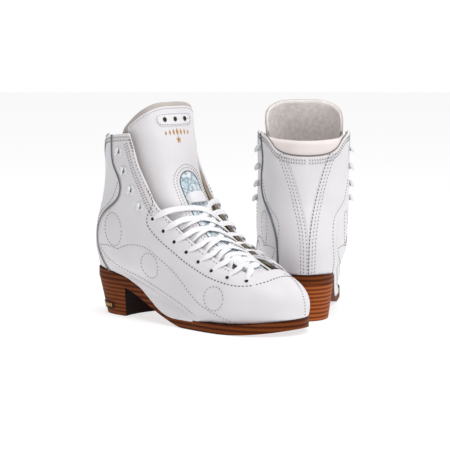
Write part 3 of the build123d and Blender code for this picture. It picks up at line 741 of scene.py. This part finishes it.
def upper_lines():
    """The open seams and the stitched rows of one boot, by kind."""
    seams, rows, dark, ladders = [], [], [], []
    for side in ("lateral", "medial"):
        sign = -1 if side == "lateral" else 1
        insert = [(sign * y, z) for y, z in INSERT_EDGE]
        seams.append(trace(insert, "back"))
        beside_insert = trace([(sign * (y + 0.9), z) for y, z in INSERT_EDGE], "back")
        (dark if side == "medial" else rows).append(beside_insert)
        for gap in (4.2, 7.2):
            rows.append(trace([(sign * (y + gap), z) for y, z in INSERT_EDGE], "back"))
        seams.append(trace(BACK_SEAM, side))
        rows.append(trace([(x, z + 0.6) for x, z in FOXING], side))
        seams.append(trace([(x - 1.5, z - 3.6) for x, z in FOXING[1:]], side))
        rows.append(trace(BACK_STITCH[side], side))
        rows += [trace(wave, side) for wave in WAVES]
        dark.append(trace(EYESTAY, side))
        for centre, radii, lean in OVALS:
            rows.append(oval(centre, radii, lean, side))
        rows.append(trace(parallel_facing(2.6, 60, 188), side))
        for gap in (7.4, 10.6):
            ladders.append(trace(parallel_facing(gap, 116, 186), side))
        for drop in (3.4, 6.6):
            ladders.append(under_collar(drop, side))
    front = [(229, -29, 49), (236, -18, 52), (238.5, 0, 54.5), (236, 18, 52), (229, 29, 49)]
    dark.append(onto(front))
    return seams, rows, dark, ladders, onto(TOE_SEAM)


def tree_of(lines):
    """Search tree over every point of the lines."""
    points = np.concatenate([line[0] for line in lines])
    tree = kdtree.KDTree(len(points))
    for i, point in enumerate(points):
        tree.insert(point, i)
    tree.balance()
    return tree


def dent(points, tree, depth, width):
    """How deep each point is pressed in by the lines of a tree."""
    distances = np.array([tree.find(point)[2] for point in points])
    return depth * np.exp(-(distances / width) ** 2)


# ------------------------------------------------------------------ upper
def wall_rows(bottoms, tops, rows):
    """Heights of a wall's rows, evenly spaced in each column."""
    share = np.linspace(0, 1, rows)[:, None]
    return bottoms[None] + (tops - bottoms)[None] * share


def wall(turns, bottoms, tops, depth, inside, rows_out, rows_in):
    """Closed wall between two depths, rounded over its top edge."""
    heights = wall_rows(bottoms, tops, rows_out)
    outer_rows = shell(turns[None], heights, np.broadcast_to(depth, heights.shape))
    normal = outward(turns, tops)
    along = unit(np.roll(outer_rows[-1], -1, 0) - np.roll(outer_rows[-1], 1, 0))
    up = unit(np.cross(normal, along))
    top_depth = np.broadcast_to(depth, heights.shape)[-1]
    arcs = rim_arc(outer_rows[-1], normal, up, (inside - top_depth)[:, None])
    inner_rows = shell(turns[None], wall_rows(bottoms, tops, rows_in)[::-1], inside)
    return np.concatenate([outer_rows, np.stack(arcs), inner_rows])


def upper_shape():
    """Points of the leather upper of one boot, with its seams pressed in."""
    turns = np.linspace(0, 1, COLUMNS, endpoint=False)
    bottoms, tops = column_span(turns, margin=LEATHER / 2)
    heights = wall_rows(bottoms, tops, ROWS)
    face = outer(turns[None], heights)
    rolled = rolled_down(face[..., 0]) / 1.5
    tuck = 1.2 * np.clip(1 - (heights - bottoms[None]) / 3.0, 0, 1) ** 2
    tuck = tuck * np.clip(1 - rolled, 0, 1) - waist_swell(face)
    flat = face.reshape(-1, 3)
    seams, rows, dark, ladders, toe = upper_lines()
    press = dent(flat, tree_of(seams), 0.7, 0.75)
    press += dent(flat, tree_of(rows + dark + ladders + [toe]), 0.16, 1.0)
    depth = tuck + press.reshape(heights.shape)
    return wall(turns, bottoms, tops, depth, LEATHER, ROWS, 30), (rows, dark, ladders, toe)


def make_upper(boot, shape):
    """White leather of the whole upper as one closed wall."""
    faces = grid_faces(shape.shape[0], COLUMNS, True, True)
    piece = mesh_piece("upper", shape, faces, boot, "white", "boot", "white_leather")
    panels = ["back_insert"] + [f"{side}_{part}" for side in ("lateral", "medial")
                                for part in ("quarter", "foxing", "back_panel")]
    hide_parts(*[f"{boot}_{panel}" for panel in panels])


LINING_DEPTHS, LINING_MARGIN, LINING_COLUMNS = (2.5, 4.6), 2.6, 360


def make_lining(boot):
    """Tan lining inside the leather, which also stands for the stiffeners and the padding."""
    turns = np.linspace(0, 1, LINING_COLUMNS, endpoint=False)
    bottoms, tops = column_span(turns, margin=LINING_MARGIN)
    shape = wall(turns, bottoms + 1, tops, *LINING_DEPTHS, 60, 60)
    faces = grid_faces(shape.shape[0], LINING_COLUMNS, True, True)
    piece = mesh_piece("lining", shape, faces, boot, "lining", "boot", "lining")
    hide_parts(f"{boot}_lining", f"{boot}_ankle_padding", f"{boot}_heel_counter",
                f"{boot}_toe_puff")


# each kind of stitch: pitch, length, radius, slant
FINE = (3.8, 1.8, 0.44)
SLANTED = (2.8, 2.4, 0.42, 0.9)
CROSSED = (3.0, 2.6, 0.42, math.pi / 2)
STRONG = (3.8, 2.1, 0.52)
TONGUE_STITCH = (3.0, 1.6, 0.4)


def make_stitching(boot, rows, dark, ladders, toe):
    fine = stitch_mesh(rows, *FINE)
    slanted = stitch_mesh(ladders, *SLANTED)
    crossed = stitch_mesh([toe], *CROSSED)
    shape = joined([fine, slanted, crossed])
    mesh_piece("stitching", *shape, boot, "thread", "boot", "white_leather")
    strong = stitch_mesh(dark, *STRONG)
    mesh_piece("dark_stitching", *strong, boot, "dark_thread", "boot", "white_leather")


def make_piping(boot):
    """Slate cord set in the lateral back seam, with the folded leather edge beside it."""
    points, normals = trace(BACK_SEAM, "lateral", 1.5)
    cord = tube(points + normals * 0.15, 1.05, 10)
    piece = mesh_piece("piping_cord", *cord, boot, "piping", "boot", "piping")
    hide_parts(f"{boot}_piping")
    fold = beside((points, normals), 1.7)
    mesh_piece("folded_edge", *tube(fold[0] + normals * 0.05, 0.75, 8), boot, "band", "boot",
               "white_leather")


# ------------------------------------------------------------------ collar liner
LINER_LEVEL, LINER_FOOT, LINER_ROUND = 180.0, 146.0, 3.0
LINER_DEPTHS = (3.1, 9.2)


def make_liner(boot):
    """Soft padded roll inside the collar, standing proud of the leather edge."""
    count = 150
    turns = np.linspace(-0.5, 0.5, 1600)
    edge = outer(turns, LINER_LEVEL)
    kept = turns[edge[:, 0] < LINER_FRONT]
    turns = np.linspace(kept[0], kept[-1], count)
    base = outer(turns, LINER_LEVEL)
    tops = liner_height(base[:, 0])
    heights = wall_rows(np.full(count, LINER_FOOT), tops - LINER_ROUND, 46)
    over = np.clip((heights - 166) / 18, 0, 1)
    swell = 1.3 * np.sin(np.pi * np.clip((heights - 158) / 30, 0, 1))
    front = np.clip((LINER_FRONT - base[:, 0]) / 6, 0, 1)[None]
    outside = shell(turns[None], heights, LINER_DEPTHS[0] - over * 0.3 - swell * front)
    inside_depth = LINER_DEPTHS[1] + 1.2 * over * front
    inside = shell(turns[None], heights[::-1], inside_depth[::-1])
    up = np.tile([0.0, 0.0, 1.0], (count, 1))
    thick = np.linalg.norm(outside[-1] - inside[0], axis=1)[:, None]
    arcs = rim_arc(outside[-1], unit(outside[-1] - inside[0]), up, thick, 12)
    shape = np.concatenate([outside, np.stack(arcs), inside])
    rows = shape.shape[0]
    faces = grid_faces(rows, count, True, False).tolist()
    faces.append([row * count for row in range(rows)])
    faces.append([row * count + count - 1 for row in range(rows)][::-1])
    piece = mesh_piece("collar_liner_soft", shape, faces, boot, "liner", "boot", "collar_leather")
    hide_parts(f"{boot}_collar_liner")
    # The dark tube along the junction of liner and leather rim is a painted shadow line.
    rim = np.linspace(-0.2, 0.2, 300)
    _, tops = column_span(rim % 1.0)
    line = shell(rim, tops, 1.3) + [0, 0, 1.25]
    line = tube(line[line[:, 0] < 47], 0.5, 8)
    mesh_piece("collar_line", *line, boot, "rim_line", "boot", "collar_leather")


# ------------------------------------------------------------------ tongue
tongue_edge = curve([(level[0], level[1]) for level in TONGUE])
tongue_front = curve([(level[0], level[2]) for level in TONGUE])
tongue_half = curve([(level[0], level[3]) for level in TONGUE])
tongue_square = curve([(level[0], level[4]) for level in TONGUE])
RIM_LINE = path(TONGUE_RIM, 0.5)


def tongue_point(turn, z, depth):
    """Point on the tongue: turn from -pi/2 at the lateral edge to pi/2 at the medial one."""
    turn, z, depth = np.broadcast_arrays(turn, z, depth)
    slope_x = (tongue_front(z + 0.5) - tongue_front(z - 0.5))
    shift = depth * np.sqrt(1 + slope_x ** 2)
    power = 2 / tongue_square(z)
    side = np.sign(turn) * np.abs(np.sin(turn)) ** power
    front = np.abs(np.cos(turn)) ** power
    x = tongue_edge(z) + (tongue_front(z) - tongue_edge(z) - shift) * front
    return np.stack([x, (tongue_half(z) - depth * 0.45) * side, z], axis=-1)


def tongue_normal(turn, z):
    along = tongue_point(turn + 1e-3, z, 0) - tongue_point(turn - 1e-3, z, 0)
    up = tongue_point(turn, z + 0.2, 0) - tongue_point(turn, z - 0.2, 0)
    return unit(np.cross(along, up))


def tongue_turn(y, z):
    """turn at which the tongue's face is at a lateral position."""
    share = np.clip(np.abs(y) / tongue_half(z), 0, 0.9999)
    return np.sign(y) * np.arcsin(share ** (tongue_square(z) / 2))


def tongue_tops(turns, inset_by):
    """Height of the tongue's rounded end at each turn, less a margin square to its rim."""
    tops = np.interp(np.degrees(np.abs(turns)), RIM_LINE[:, 0], RIM_LINE[:, 1])
    rim = tongue_point(turns, tops, 0.0)
    run = np.concatenate([[0], np.cumsum(np.linalg.norm(np.diff(rim[:, :2], axis=0), axis=1))])
    slope = np.gradient(tops, run)
    return tops - inset_by * np.minimum(np.sqrt(1 + slope ** 2), 2.2)


def tongue_wall(turns, tops, foot, outside, inside, rows, rim):
    """Closed sheet of the tongue between two depths, rounded at its top and edges."""
    heights = wall_rows(np.full(len(turns), foot), tops, rows)
    face = tongue_point(turns[None], heights, outside)
    back = tongue_point(turns[None], heights[::-1], inside)
    out = unit(face[-1] - back[0])
    along = unit(np.gradient(face[-1], axis=0))
    up = unit(np.cross(out, along))
    thick = np.linalg.norm(face[-1] - back[0], axis=1)[:, None]
    arcs = rim_arc(face[-1], out, up, thick, rim)
    shape = np.concatenate([face, np.stack(arcs), back])
    count = len(turns)
    faces = grid_faces(shape.shape[0], count, True, False).tolist()
    caps = [[row * count for row in range(shape.shape[0])],
            [row * count + count - 1 for row in range(shape.shape[0])][::-1]]
    return shape, faces, caps


def bend(piece):
    """Bakes a tongue piece's transform into its mesh; it is not bent."""
    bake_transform(piece)


def on_tongue(points, lift=0.15):
    """Front-view points (y, z) laid on the tongue's face: points and normals."""
    points = np.asarray(points, float)
    turn = tongue_turn(points[:, 0], points[:, 1])
    normal = tongue_normal(turn, points[:, 1])
    return tongue_point(turn, points[:, 1], 0.0) + normal * lift, normal


def capsule(centre, half_length, half_height):
    """Outline of a long rounded patch in the front view."""
    angles = np.linspace(0, 2 * math.pi, 120)
    straight = half_length - half_height
    y = centre[0] + half_height * np.cos(angles) + straight * np.sign(np.cos(angles))
    return path(np.stack([y, centre[1] + half_height * np.sin(angles)], 1), 0.8)


def arch(half_width, top, foot, grow=0.0):
    """Outline of the arched window, from its lateral foot over the top to the medial foot."""
    radius = half_width + grow
    angles = np.linspace(math.pi, 0, 28)
    spring = top - half_width
    sides = np.linspace(foot, spring, 60)[:-1]
    left = np.stack([np.full(len(sides), -radius), sides], 1)
    bow = np.stack([radius * np.cos(angles), spring + radius * np.sin(angles)], 1)
    return np.concatenate([left, bow, left[::-1] * [-1, 1]])


def filled(outline, lift, spread=12):
    """Thin raised plate on the tongue inside a closed convex outline."""
    centre = outline.mean(0)
    rings = [centre + (outline - centre) * share for share in np.linspace(0.02, 1, spread)]
    top = [on_tongue(loop, lift)[0] for loop in rings]
    side = on_tongue(outline, -0.2)[0]
    points = np.stack(top + [side])
    faces = grid_faces(points.shape[0], len(outline), False, True).tolist()
    faces.append(list(range(len(outline)))[::-1])
    return points, faces


WINDOW_HALF, WINDOW_TOP, WINDOW_FOOT = 13.5, 151.5, 60.0
PATCH = (-3.0, 203.5)
PATCH_HALF = (24.5, 6.2)
PATCH_HOLES = (-14.5, 0.0, 14.5)
CREST = (-3.0, 190.0)
PATCH_HOLE = 2.1
TONGUE_ROWS = 150
# foot height, outer and inner depth, and drop of the top edge of the pad and of its leather face
PAD_FOOT, PAD_OUTSIDE, PAD_DROP = 51.0, 0.5, 1.5
FACE_FOOT, FACE_OUTSIDE, FACE_INSIDE, FACE_DROP = 51.5, -0.05, 1.3, 3.0
FACE_RIM_STEPS = 5
PAD_RIM_STEPS = 9


def make_tongue(boot):
    limit = math.pi / 2
    turns = limit * np.sin(np.linspace(-limit, limit, 190))
    tops = tongue_tops(turns, PAD_DROP)
    shape, faces, caps = tongue_wall(turns, tops, PAD_FOOT, PAD_OUTSIDE, TONGUE_DEPTH, TONGUE_ROWS,
                                     PAD_RIM_STEPS)
    padding = mesh_piece("tongue_pad", shape, faces + caps, boot, "band", None, "tongue_suede")
    padding.data.materials.append(MATERIALS["suede"])
    across = len(turns) - 1
    first_suede_row = TONGUE_ROWS + (PAD_RIM_STEPS + 1) // 2
    for polygon in list(padding.data.polygons)[TONGUE_ROWS * across:len(faces)]:
        polygon.material_index = 1 if polygon.index // across >= first_suede_row else 0
    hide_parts(f"{boot}_tongue_padding_lower", f"{boot}_tongue_padding_upper")

    inner = turns[np.abs(turns) < math.radians(86)]
    tops = tongue_tops(inner, FACE_DROP)
    shape, faces, caps = tongue_wall(inner, tops, FACE_FOOT, FACE_OUTSIDE, FACE_INSIDE, TONGUE_ROWS,
                                     FACE_RIM_STEPS)
    face = mesh_piece("tongue_face", shape, faces + caps, boot, "white", None, "white_leather")
    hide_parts(f"{boot}_tongue_face_lower", f"{boot}_tongue_face_upper")

    near = turns[np.abs(turns) < math.radians(83)]
    level = tongue_tops(near, 4.4)
    rows = [(tongue_point(near, level, -0.1), tongue_normal(near, level))]
    rows.append(on_tongue(capsule(PATCH, PATCH_HALF[0] - 1.2, PATCH_HALF[1] - 1.2), 0.8))
    for grow in (3.6, 6.6):
        rows.append(on_tongue(arch(WINDOW_HALF, WINDOW_TOP, WINDOW_FOOT, grow), 0.2))
    stitches = stitch_mesh(rows, *TONGUE_STITCH)
    mesh_piece("tongue_stitching", *stitches, boot, "thread", None, "white_leather")

    mesh_piece("tongue_patch", *filled(capsule(PATCH, *PATCH_HALF), 0.7), boot, "facing",
               "tongue_top", "white_leather")
    cups, rings = [], []
    angles = np.linspace(0, 2 * math.pi, 28)
    for y in PATCH_HOLES:
        circle = np.stack([PATCH[0] + y + PATCH_HOLE * np.cos(angles),
                           PATCH[1] + PATCH_HOLE * np.sin(angles)], 1)
        # the near-black disc in each hole is painted shade, the lining seen in shadow
        cups.append(filled(circle[:-1], 0.8, 4))
        rings.append(tube(on_tongue(circle, 0.85)[0], 0.42, 8))
    mesh_piece("patch_holes", *joined(cups), boot, "hole", "tongue_top", "white_leather")
    mesh_piece("patch_rings", *joined(rings), boot, "bronze", "tongue_top", "brass")

    crest = []
    for k in range(-3, 4):
        size = 2.7 - 0.35 * abs(k)
        centre = np.array([CREST[0] + 5.3 * k, CREST[1] + 1.0 * math.cos(k * 0.5)])
        lozenge = centre + np.array([(size * 0.62, 0), (0, size * 1.35), (-size * 0.62, 0),
                                     (0, -size * 1.35)])
        crest.append(filled(lozenge, 0.35, 4))
    drop = CREST[1] - 7.0
    petals = np.linspace(0, 2 * math.pi, 11)[:-1]
    reach = np.where(np.arange(10) % 2, 1.5, 3.9)
    star = np.stack([CREST[0] + reach * np.sin(petals), drop + reach * np.cos(petals)], 1)
    crest.append(filled(star, 0.35, 4))
    mesh_piece("tongue_crest", *joined(crest), boot, "gold", "tongue_top", "brass", sharp=30)

    half = arch(WINDOW_HALF, WINDOW_TOP, WINDOW_FOOT)
    left, right = half[:len(half) // 2 + 1], half[::-1][:len(half) // 2 + 1]
    across = np.linspace(0, 1, 24)[:, None, None]
    sheet_points = left[None] + (right - left)[None] * across
    flat = on_tongue(sheet_points.reshape(-1, 2), 0.3)[0].reshape(sheet_points.shape[:2] + (3,))
    faces = grid_faces(flat.shape[0], flat.shape[1])
    mesh_piece("tongue_window", flat, faces[:, ::-1], boot, "pattern", None, "tongue_suede")
    border = tube(on_tongue(half, 0.3)[0], 0.55, 8)
    mesh_piece("window_border", *border, boot, "piping", None, "piping")


# ------------------------------------------------------------------ hooks and eyelets
def turned(profile, centre, axis, sides=28, squash=1.0):
    """Surface of revolution from (radius, height) points about a normal."""
    guide = np.array([0.94, 0.0, 0.34])
    first = unit(guide - axis * (guide @ axis))
    second = np.cross(axis, first)
    angles = np.linspace(0, 2 * math.pi, sides, endpoint=False)
    rings = []
    for radius, height in profile:
        rings.append(centre + axis * height
                     + radius * (np.cos(angles)[:, None] * first * squash
                                 + np.sin(angles)[:, None] * second))
    points = np.concatenate(rings)
    faces = grid_faces(len(profile), sides, False, True).tolist()
    faces.append(list(range(sides))[::-1])
    faces.append([(len(profile) - 1) * sides + k for k in range(sides)])
    return points, faces


HOOK_BASE = ((4.3, 0.0), (4.4, 0.45), (4.1, 0.9), (3.2, 1.15), (1.9, 1.3))
HOOK_POST = ((2.0, 1.0), (1.6, 1.7), (1.6, 2.2), (2.1, 2.6), (3.9, 2.7), (4.25, 2.9))
HOOK_CAP = ((4.25, 2.9), (4.5, 3.2), (4.45, 3.8), (4.0, 4.4), (3.0, 4.8), (1.6, 4.95), (0.3, 5.0))


HOOK_LEAN = np.array([-0.38, 0.0, 0.42])
HOOK_SHIFT = np.array([-0.2, 0.0, -0.9])
HOOK_SQUASH, BASE_SQUASH = 0.76, 0.8
# near-black cup set into each eyelet: painted shade inside the hole
EYELET_CUP = ((2.0, -1.2), (2.0, 0.12), (0.2, 0.12))
EYELET_RIM = (2.25, 0.42)


def make_hooks(boot):
    """Riveted base, a metal post coloured dark as painted shade under the cap, and an enamelled cap
    that leans up and back.
    """
    white, dark = [], []
    for side in ("lateral", "medial"):
        turn = on_side(HOOKS, side)
        heights = np.array([z for _, z in HOOKS], float)
        for spot, normal in zip(outer(turn, heights), outward(turn, heights)):
            tip = unit(normal + HOOK_LEAN)
            at = spot + HOOK_SHIFT
            white.append(turned(HOOK_BASE, spot - normal * 0.1, normal, squash=BASE_SQUASH))
            dark.append(turned(HOOK_POST, at, tip, squash=HOOK_SQUASH))
            white.append(turned(HOOK_CAP, at, tip, squash=HOOK_SQUASH))
    piece = mesh_piece("hook_set", *joined(white), boot, "hook", "boot", "hook_enamel", sharp=50)
    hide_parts(f"{boot}_hooks")
    mesh_piece("hook_posts", *joined(dark), boot, "gunmetal", "boot", "hook_enamel", sharp=50)


def make_eyelets(boot):
    """Punched holes with a pressed rim; the near-black cup inside each is painted shade."""
    rims, cups = [], []
    for side in ("lateral", "medial"):
        turn = on_side(EYELETS, side)
        heights = np.array([z for _, z in EYELETS], float)
        for spot, normal in zip(outer(turn, heights), outward(turn, heights)):
            cups.append(turned(EYELET_CUP, spot, normal, 20))
            angles = np.linspace(0, 2 * math.pi, 25)
            guide = unit(np.cross(normal, np.array([0.0, 0.0, 1.0])))
            other = np.cross(normal, guide)
            circle = np.cos(angles)[:, None] * guide + np.sin(angles)[:, None] * other
            rims.append(tube(spot + circle * EYELET_RIM[0] + normal * 0.05, EYELET_RIM[1], 8))
    mesh_piece("eyelet_rims", *joined(rims), boot, "facing", "boot", "white_leather")
    mesh_piece("eyelet_holes", *joined(cups), boot, "hole", "boot", "white_leather")


# ------------------------------------------------------------------ laces
STRAND_EDGES = ((126, 110), (138.5, 100), (151.5, 89.5), (166, 79.5), (180.5, 71.8),
                (195.5, 65.5), (210, 60.5), (219, 58.8), (225, 58.2))
LATERAL_STEP, MEDIAL_STEP = (-3.5, 2.8), (-7.0, 5.6)
LATERAL_ARCH, MEDIAL_ARCH = 4.0, -1.5
LOOP_Z = 124.5
LACE_WIDTH = 6.0
LACE_LOW, LACE_HIGH, LACE_OVER, LACE_UNDER = 1.8, 3.1, 0.9, 6.6
LACE_SHOULDER = 0.62
LACE_PINCH, LACE_PINCHED_RUN = 0.38, 0.13
LACE_TILT = 0.12
LOOP_HALF, LOOP_WIDTH, LOOP_THICKNESS = 11.5, 12.5, 1.5


def flat_lace(points, ups, widths, thick=1.15):
    """Flat woven lace swept along points, its face turned towards ups."""
    profile = [(math.cos(a), math.sin(a)) for a in np.linspace(0, 2 * math.pi, 16, endpoint=False)]
    tangent = unit(np.gradient(points, axis=0))
    up = unit(ups - tangent * (ups * tangent).sum(1, keepdims=True))
    side = np.cross(tangent, up)
    rows = []
    for c, s in profile:
        wide = np.sign(c) * abs(c) ** 0.35 * widths[:, None] / 2
        high = np.sign(s) * abs(s) ** 0.8 * thick / 2
        rows.append(points + side * wide + up * high)
    shape = np.stack(rows, axis=1)
    count = len(profile)
    faces = grid_faces(len(points), count, False, True).tolist()
    faces.append(list(range(count))[::-1])
    faces.append([(len(points) - 1) * count + k for k in range(count)])
    return shape, faces


def near_edge(x, z, side):
    """Point and normal of the outer face at a side-view point."""
    turn = on_side([(x, z)], "lateral" if side < 0 else "medial")
    return outer(turn, z)[0], outward(turn, z)[0]


def strand(k, side, random):
    """Lace from an eyelet over the facing and tongue, and under the other facing."""
    hole, out = near_edge(*EYELETS[k], side)
    step_x, step_z = LATERAL_STEP if side < 0 else MEDIAL_STEP
    edge_x, edge_z = STRAND_EDGES[k]
    lip, lip_out = near_edge(edge_x + step_x, edge_z + step_z, side)
    far_at = STRAND_EDGES[k + 1]
    far, far_out = near_edge(*far_at, -side)
    rise = LACE_LOW if side > 0 else LACE_HIGH
    over_z, far_z = edge_z + step_z + 2, far_at[1] + 2
    turns = np.array([side * LACE_SHOULDER, 0.0, -side * LACE_SHOULDER])
    arch_by = LATERAL_ARCH if side < 0 else MEDIAL_ARCH
    heights = np.array([over_z, (over_z + far_z) / 2 + arch_by, far_z])
    shoulder = tongue_point(turns, heights, 0.0)
    shoulder_out = tongue_normal(turns, heights)
    lift = np.array([rise, rise + random.uniform(0, 0.5), LACE_LOW])[:, None]
    pulled = hole + (lip - hole) * 0.3
    route = np.array([hole - out * 1.0, pulled + out * LACE_OVER, lip + lip_out * (LACE_OVER + 0.3),
                      *(shoulder + shoulder_out * lift), far - far_out * LACE_UNDER])
    ups = np.array([out, out, lip_out, *shoulder_out, far_out])
    chords = np.linalg.norm(np.diff(route, axis=0), axis=1)
    knots = np.concatenate([[0], np.cumsum(chords)]) / chords.sum()
    where = np.linspace(0, 1, 90)
    weights = spline_weights(knots, spline_moments(knots, False), where)
    points, up = weights @ route, unit(weights @ ups)
    tilt = random.uniform(-LACE_TILT, LACE_TILT)
    tangent = unit(np.gradient(points, axis=0))
    up = up * math.cos(tilt) + np.cross(tangent, up) * math.sin(tilt)
    start = np.clip(where / LACE_PINCHED_RUN, 0, 1)
    widths = LACE_WIDTH * (LACE_PINCH + (1 - LACE_PINCH) * start * start * (3 - 2 * start))
    widths = widths * (1 + 0.04 * np.sin(where * random.uniform(9, 14) + random.uniform(0, 6)))
    return flat_lace(points, up, widths)


def make_laces(boot):
    random = np.random.default_rng(11 if boot == "right" else 12)
    runs = [strand(k, side, random) for k in range(len(EYELETS)) for side in (1, -1)]
    piece = mesh_piece("lace_runs", *joined(runs), boot, "lace", "boot", "lace", sharp=55)
    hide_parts(f"{boot}_lace")


def make_loop(boot):
    """Bowed leather strap on the tongue that keeps the laces in line."""
    across = np.linspace(-1, 1, 30)
    level = np.full(30, LOOP_Z)
    turns = tongue_turn(across * LOOP_HALF, level)
    normal = tongue_normal(turns, level)
    rise = 4.4 * (1 - across ** 4) + 0.2
    arc = tongue_point(turns, level, 0.0) + normal * rise[:, None]
    strap = flat_lace(arc, normal, LOOP_WIDTH - 2.5 * across ** 2, LOOP_THICKNESS)
    piece = mesh_piece("tongue_loop", *strap, boot, "facing", None, "white_leather", sharp=55)
    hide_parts(f"{boot}_lace_loop")


UPPER, LINES = upper_shape()
for name in BOOTS:
    make_upper(name, UPPER)
    make_stitching(name, *LINES)
    make_lining(name)
    make_piping(name)
    make_liner(name)
    make_tongue(name)
    make_hooks(name)
    make_eyelets(name)
    make_laces(name)
    make_loop(name)

PLATE_PLACE = (25.0, -20.5, 9.5)
PLATE_FACING = (-0.36, -0.93, 0.0)


def make_plate_bars(boot):
    """Row of small slanted gilt bars laid on the heel plate."""
    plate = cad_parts[f"{boot}_heel_plate"]
    corners = [plate.matrix_world @ vertex.co for vertex in plate.data.vertices]
    tree = bvhtree.BVHTree.FromPolygons(corners, [face.vertices for face in plate.data.polygons])
    out = unit(np.array(PLATE_FACING))
    along = np.array([-out[1], out[0], 0.0])
    origin = place([0.0, 0.0, 0.0], boot)
    ray = Vector(place(-out, boot) - origin)
    points, faces = [], []
    for k in range(-3, 4):
        for u, v in ((-1.2, -1.6), (0.1, -1.6), (1.2, 1.6), (-0.1, 1.6)):
            start = np.array(PLATE_PLACE) + out * 12 + along * (k * 2.5 + u) + [0, 0, v]
            hit, normal, _, _ = tree.ray_cast(Vector(place(start, boot)), ray)
            points += [hit + normal * 0.3 * MM, hit - normal * 0.1 * MM]
        a = len(points) - 8
        faces.append([a, a + 2, a + 4, a + 6])
        for i in range(4):
            j = (i + 1) % 4
            faces.append([a + 2 * i, a + 2 * i + 1, a + 2 * j + 1, a + 2 * j])
    mesh = bpy.data.meshes.new(f"{boot}_plate_bars")
    mesh.from_pydata([list(point) for point in points], [], faces)
    mesh.materials.append(MATERIALS["gold"])
    piece = bpy.data.objects.new(f"{boot}_plate_bars", mesh)
    bpy.context.scene.collection.objects.link(piece)
    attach(piece, f"{boot}_boot")


for name in BOOTS:
    make_plate_bars(name)

CAD_MATERIALS = {
    "outsole": "sole", "midsole": "sole", "heel_lifts": "heel", "heel_top_piece": "heel",
    "heel_plate": "plate", "footbed": "footbed", "cork_filler": "cork", "shank": "steel",
    "heel_nails": "steel", "insole_board": "fibre",
}
for node_name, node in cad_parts.items():
    boot, part = node_name.split("_", 1)
    finish = CAD_MATERIALS.get(part, "white")
    finish = f"{boot}_heel" if finish == "heel" else finish
    node.data.materials.clear()
    node.data.materials.append(MATERIALS[finish])


# ------------------------------------------------------------------ stage, light and camera
CAMERA_DISTANCE = 1960.5
CAMERA_PITCH = 6.19
CAMERA_TARGET = 92.3
LENS = 151.7
FLOOR_REACH, FLOOR_DROP = 6.0, 0.0004


def area_light(name, spot, target, size, power):
    lamp = bpy.data.lights.new(name, "AREA")
    lamp.size = size
    lamp.energy = power
    holder = bpy.data.objects.new(name, lamp)
    holder.location = spot
    aim = Vector(target) - Vector(spot)
    holder.rotation_euler = aim.to_track_quat("-Z", "Y").to_euler()
    bpy.context.scene.collection.objects.link(holder)


def make_stage():
    """White sweep: a floor that glows a little, so that only faint contact shadows show."""
    mesh = bpy.data.meshes.new("floor")
    corners = [(FLOOR_REACH * x, FLOOR_REACH * y, 0) for x, y in ((-1, -1), (1, -1), (1, 1), (-1, 1))]
    mesh.from_pydata(corners, [], [(0, 1, 2, 3)])
    floor = bpy.data.objects.new("floor", mesh)
    floor.location.z = -FLOOR_DROP
    bpy.context.scene.collection.objects.link(floor)
    material, tree, shader = nodes_of("pale_floor")
    settings(shader, Base_Color=(0.4, 0.4, 0.4, 1), Roughness=1.0, Specular_IOR_Level=0.0,
             Emission_Color=(1, 1, 1, 1), Emission_Strength=0.72)
    mesh.materials.append(material)


def make_world():
    """Bright studio walls behind and to the right, dimmer ones to the left and in front."""
    world = bpy.data.worlds.new("studio")
    world.use_nodes = True
    tree = world.node_tree
    source = add(tree, "ShaderNodeTexCoord")
    parts = add(tree, "ShaderNodeSeparateXYZ")
    tree.links.new(source.outputs["Generated"], parts.inputs["Vector"])
    deep = add(tree, "ShaderNodeMath", operation="MULTIPLY_ADD")
    deep.inputs[1].default_value = 0.55
    deep.inputs[2].default_value = 0.45
    wide = add(tree, "ShaderNodeMath", operation="MULTIPLY_ADD", use_clamp=True)
    wide.inputs[1].default_value = 0.32
    tree.links.new(parts.outputs["Y"], deep.inputs[0])
    tree.links.new(parts.outputs["X"], wide.inputs[0])
    tree.links.new(deep.outputs["Value"], wide.inputs[2])
    shade = ramp(tree, wide.outputs["Value"],
                 ((0.0, (0.22, 0.208, 0.216)), (0.5, (0.50, 0.488, 0.50)), (0.9, (1.0, 1.0, 1.0))))
    tree.links.new(shade, tree.nodes["Background"].inputs["Color"])
    tree.nodes["Background"].inputs["Strength"].default_value = 1.04
    bpy.context.scene.world = world
    bpy.context.scene.view_settings.view_transform = "Standard"


def make_lights():
    area_light("key", (0.7, -1.6, 1.5), (0.02, 0, 0.08), 0.9, 13)
    area_light("top", (0.1, -0.5, 1.9), (0, 0, 0.1), 1.0, 15)


def make_camera():
    pitch = math.radians(CAMERA_PITCH)
    lens = bpy.data.cameras.new("camera")
    lens.lens = LENS
    lens.sensor_width = 36
    lens.clip_end = 50
    camera = bpy.data.objects.new("camera", lens)
    camera.location = (-PAIR_CENTRE[0] * MM,
                       (-PAIR_CENTRE[1] - CAMERA_DISTANCE * math.cos(pitch)) * MM,
                       (CAMERA_TARGET + CAMERA_DISTANCE * math.sin(pitch)) * MM)
    camera.rotation_euler = (math.radians(90 - CAMERA_PITCH), 0, 0)
    bpy.context.scene.collection.objects.link(camera)
    bpy.context.scene.camera = camera


make_camera()
make_stage()
make_world()
make_lights()

bpy.context.view_layer.update()
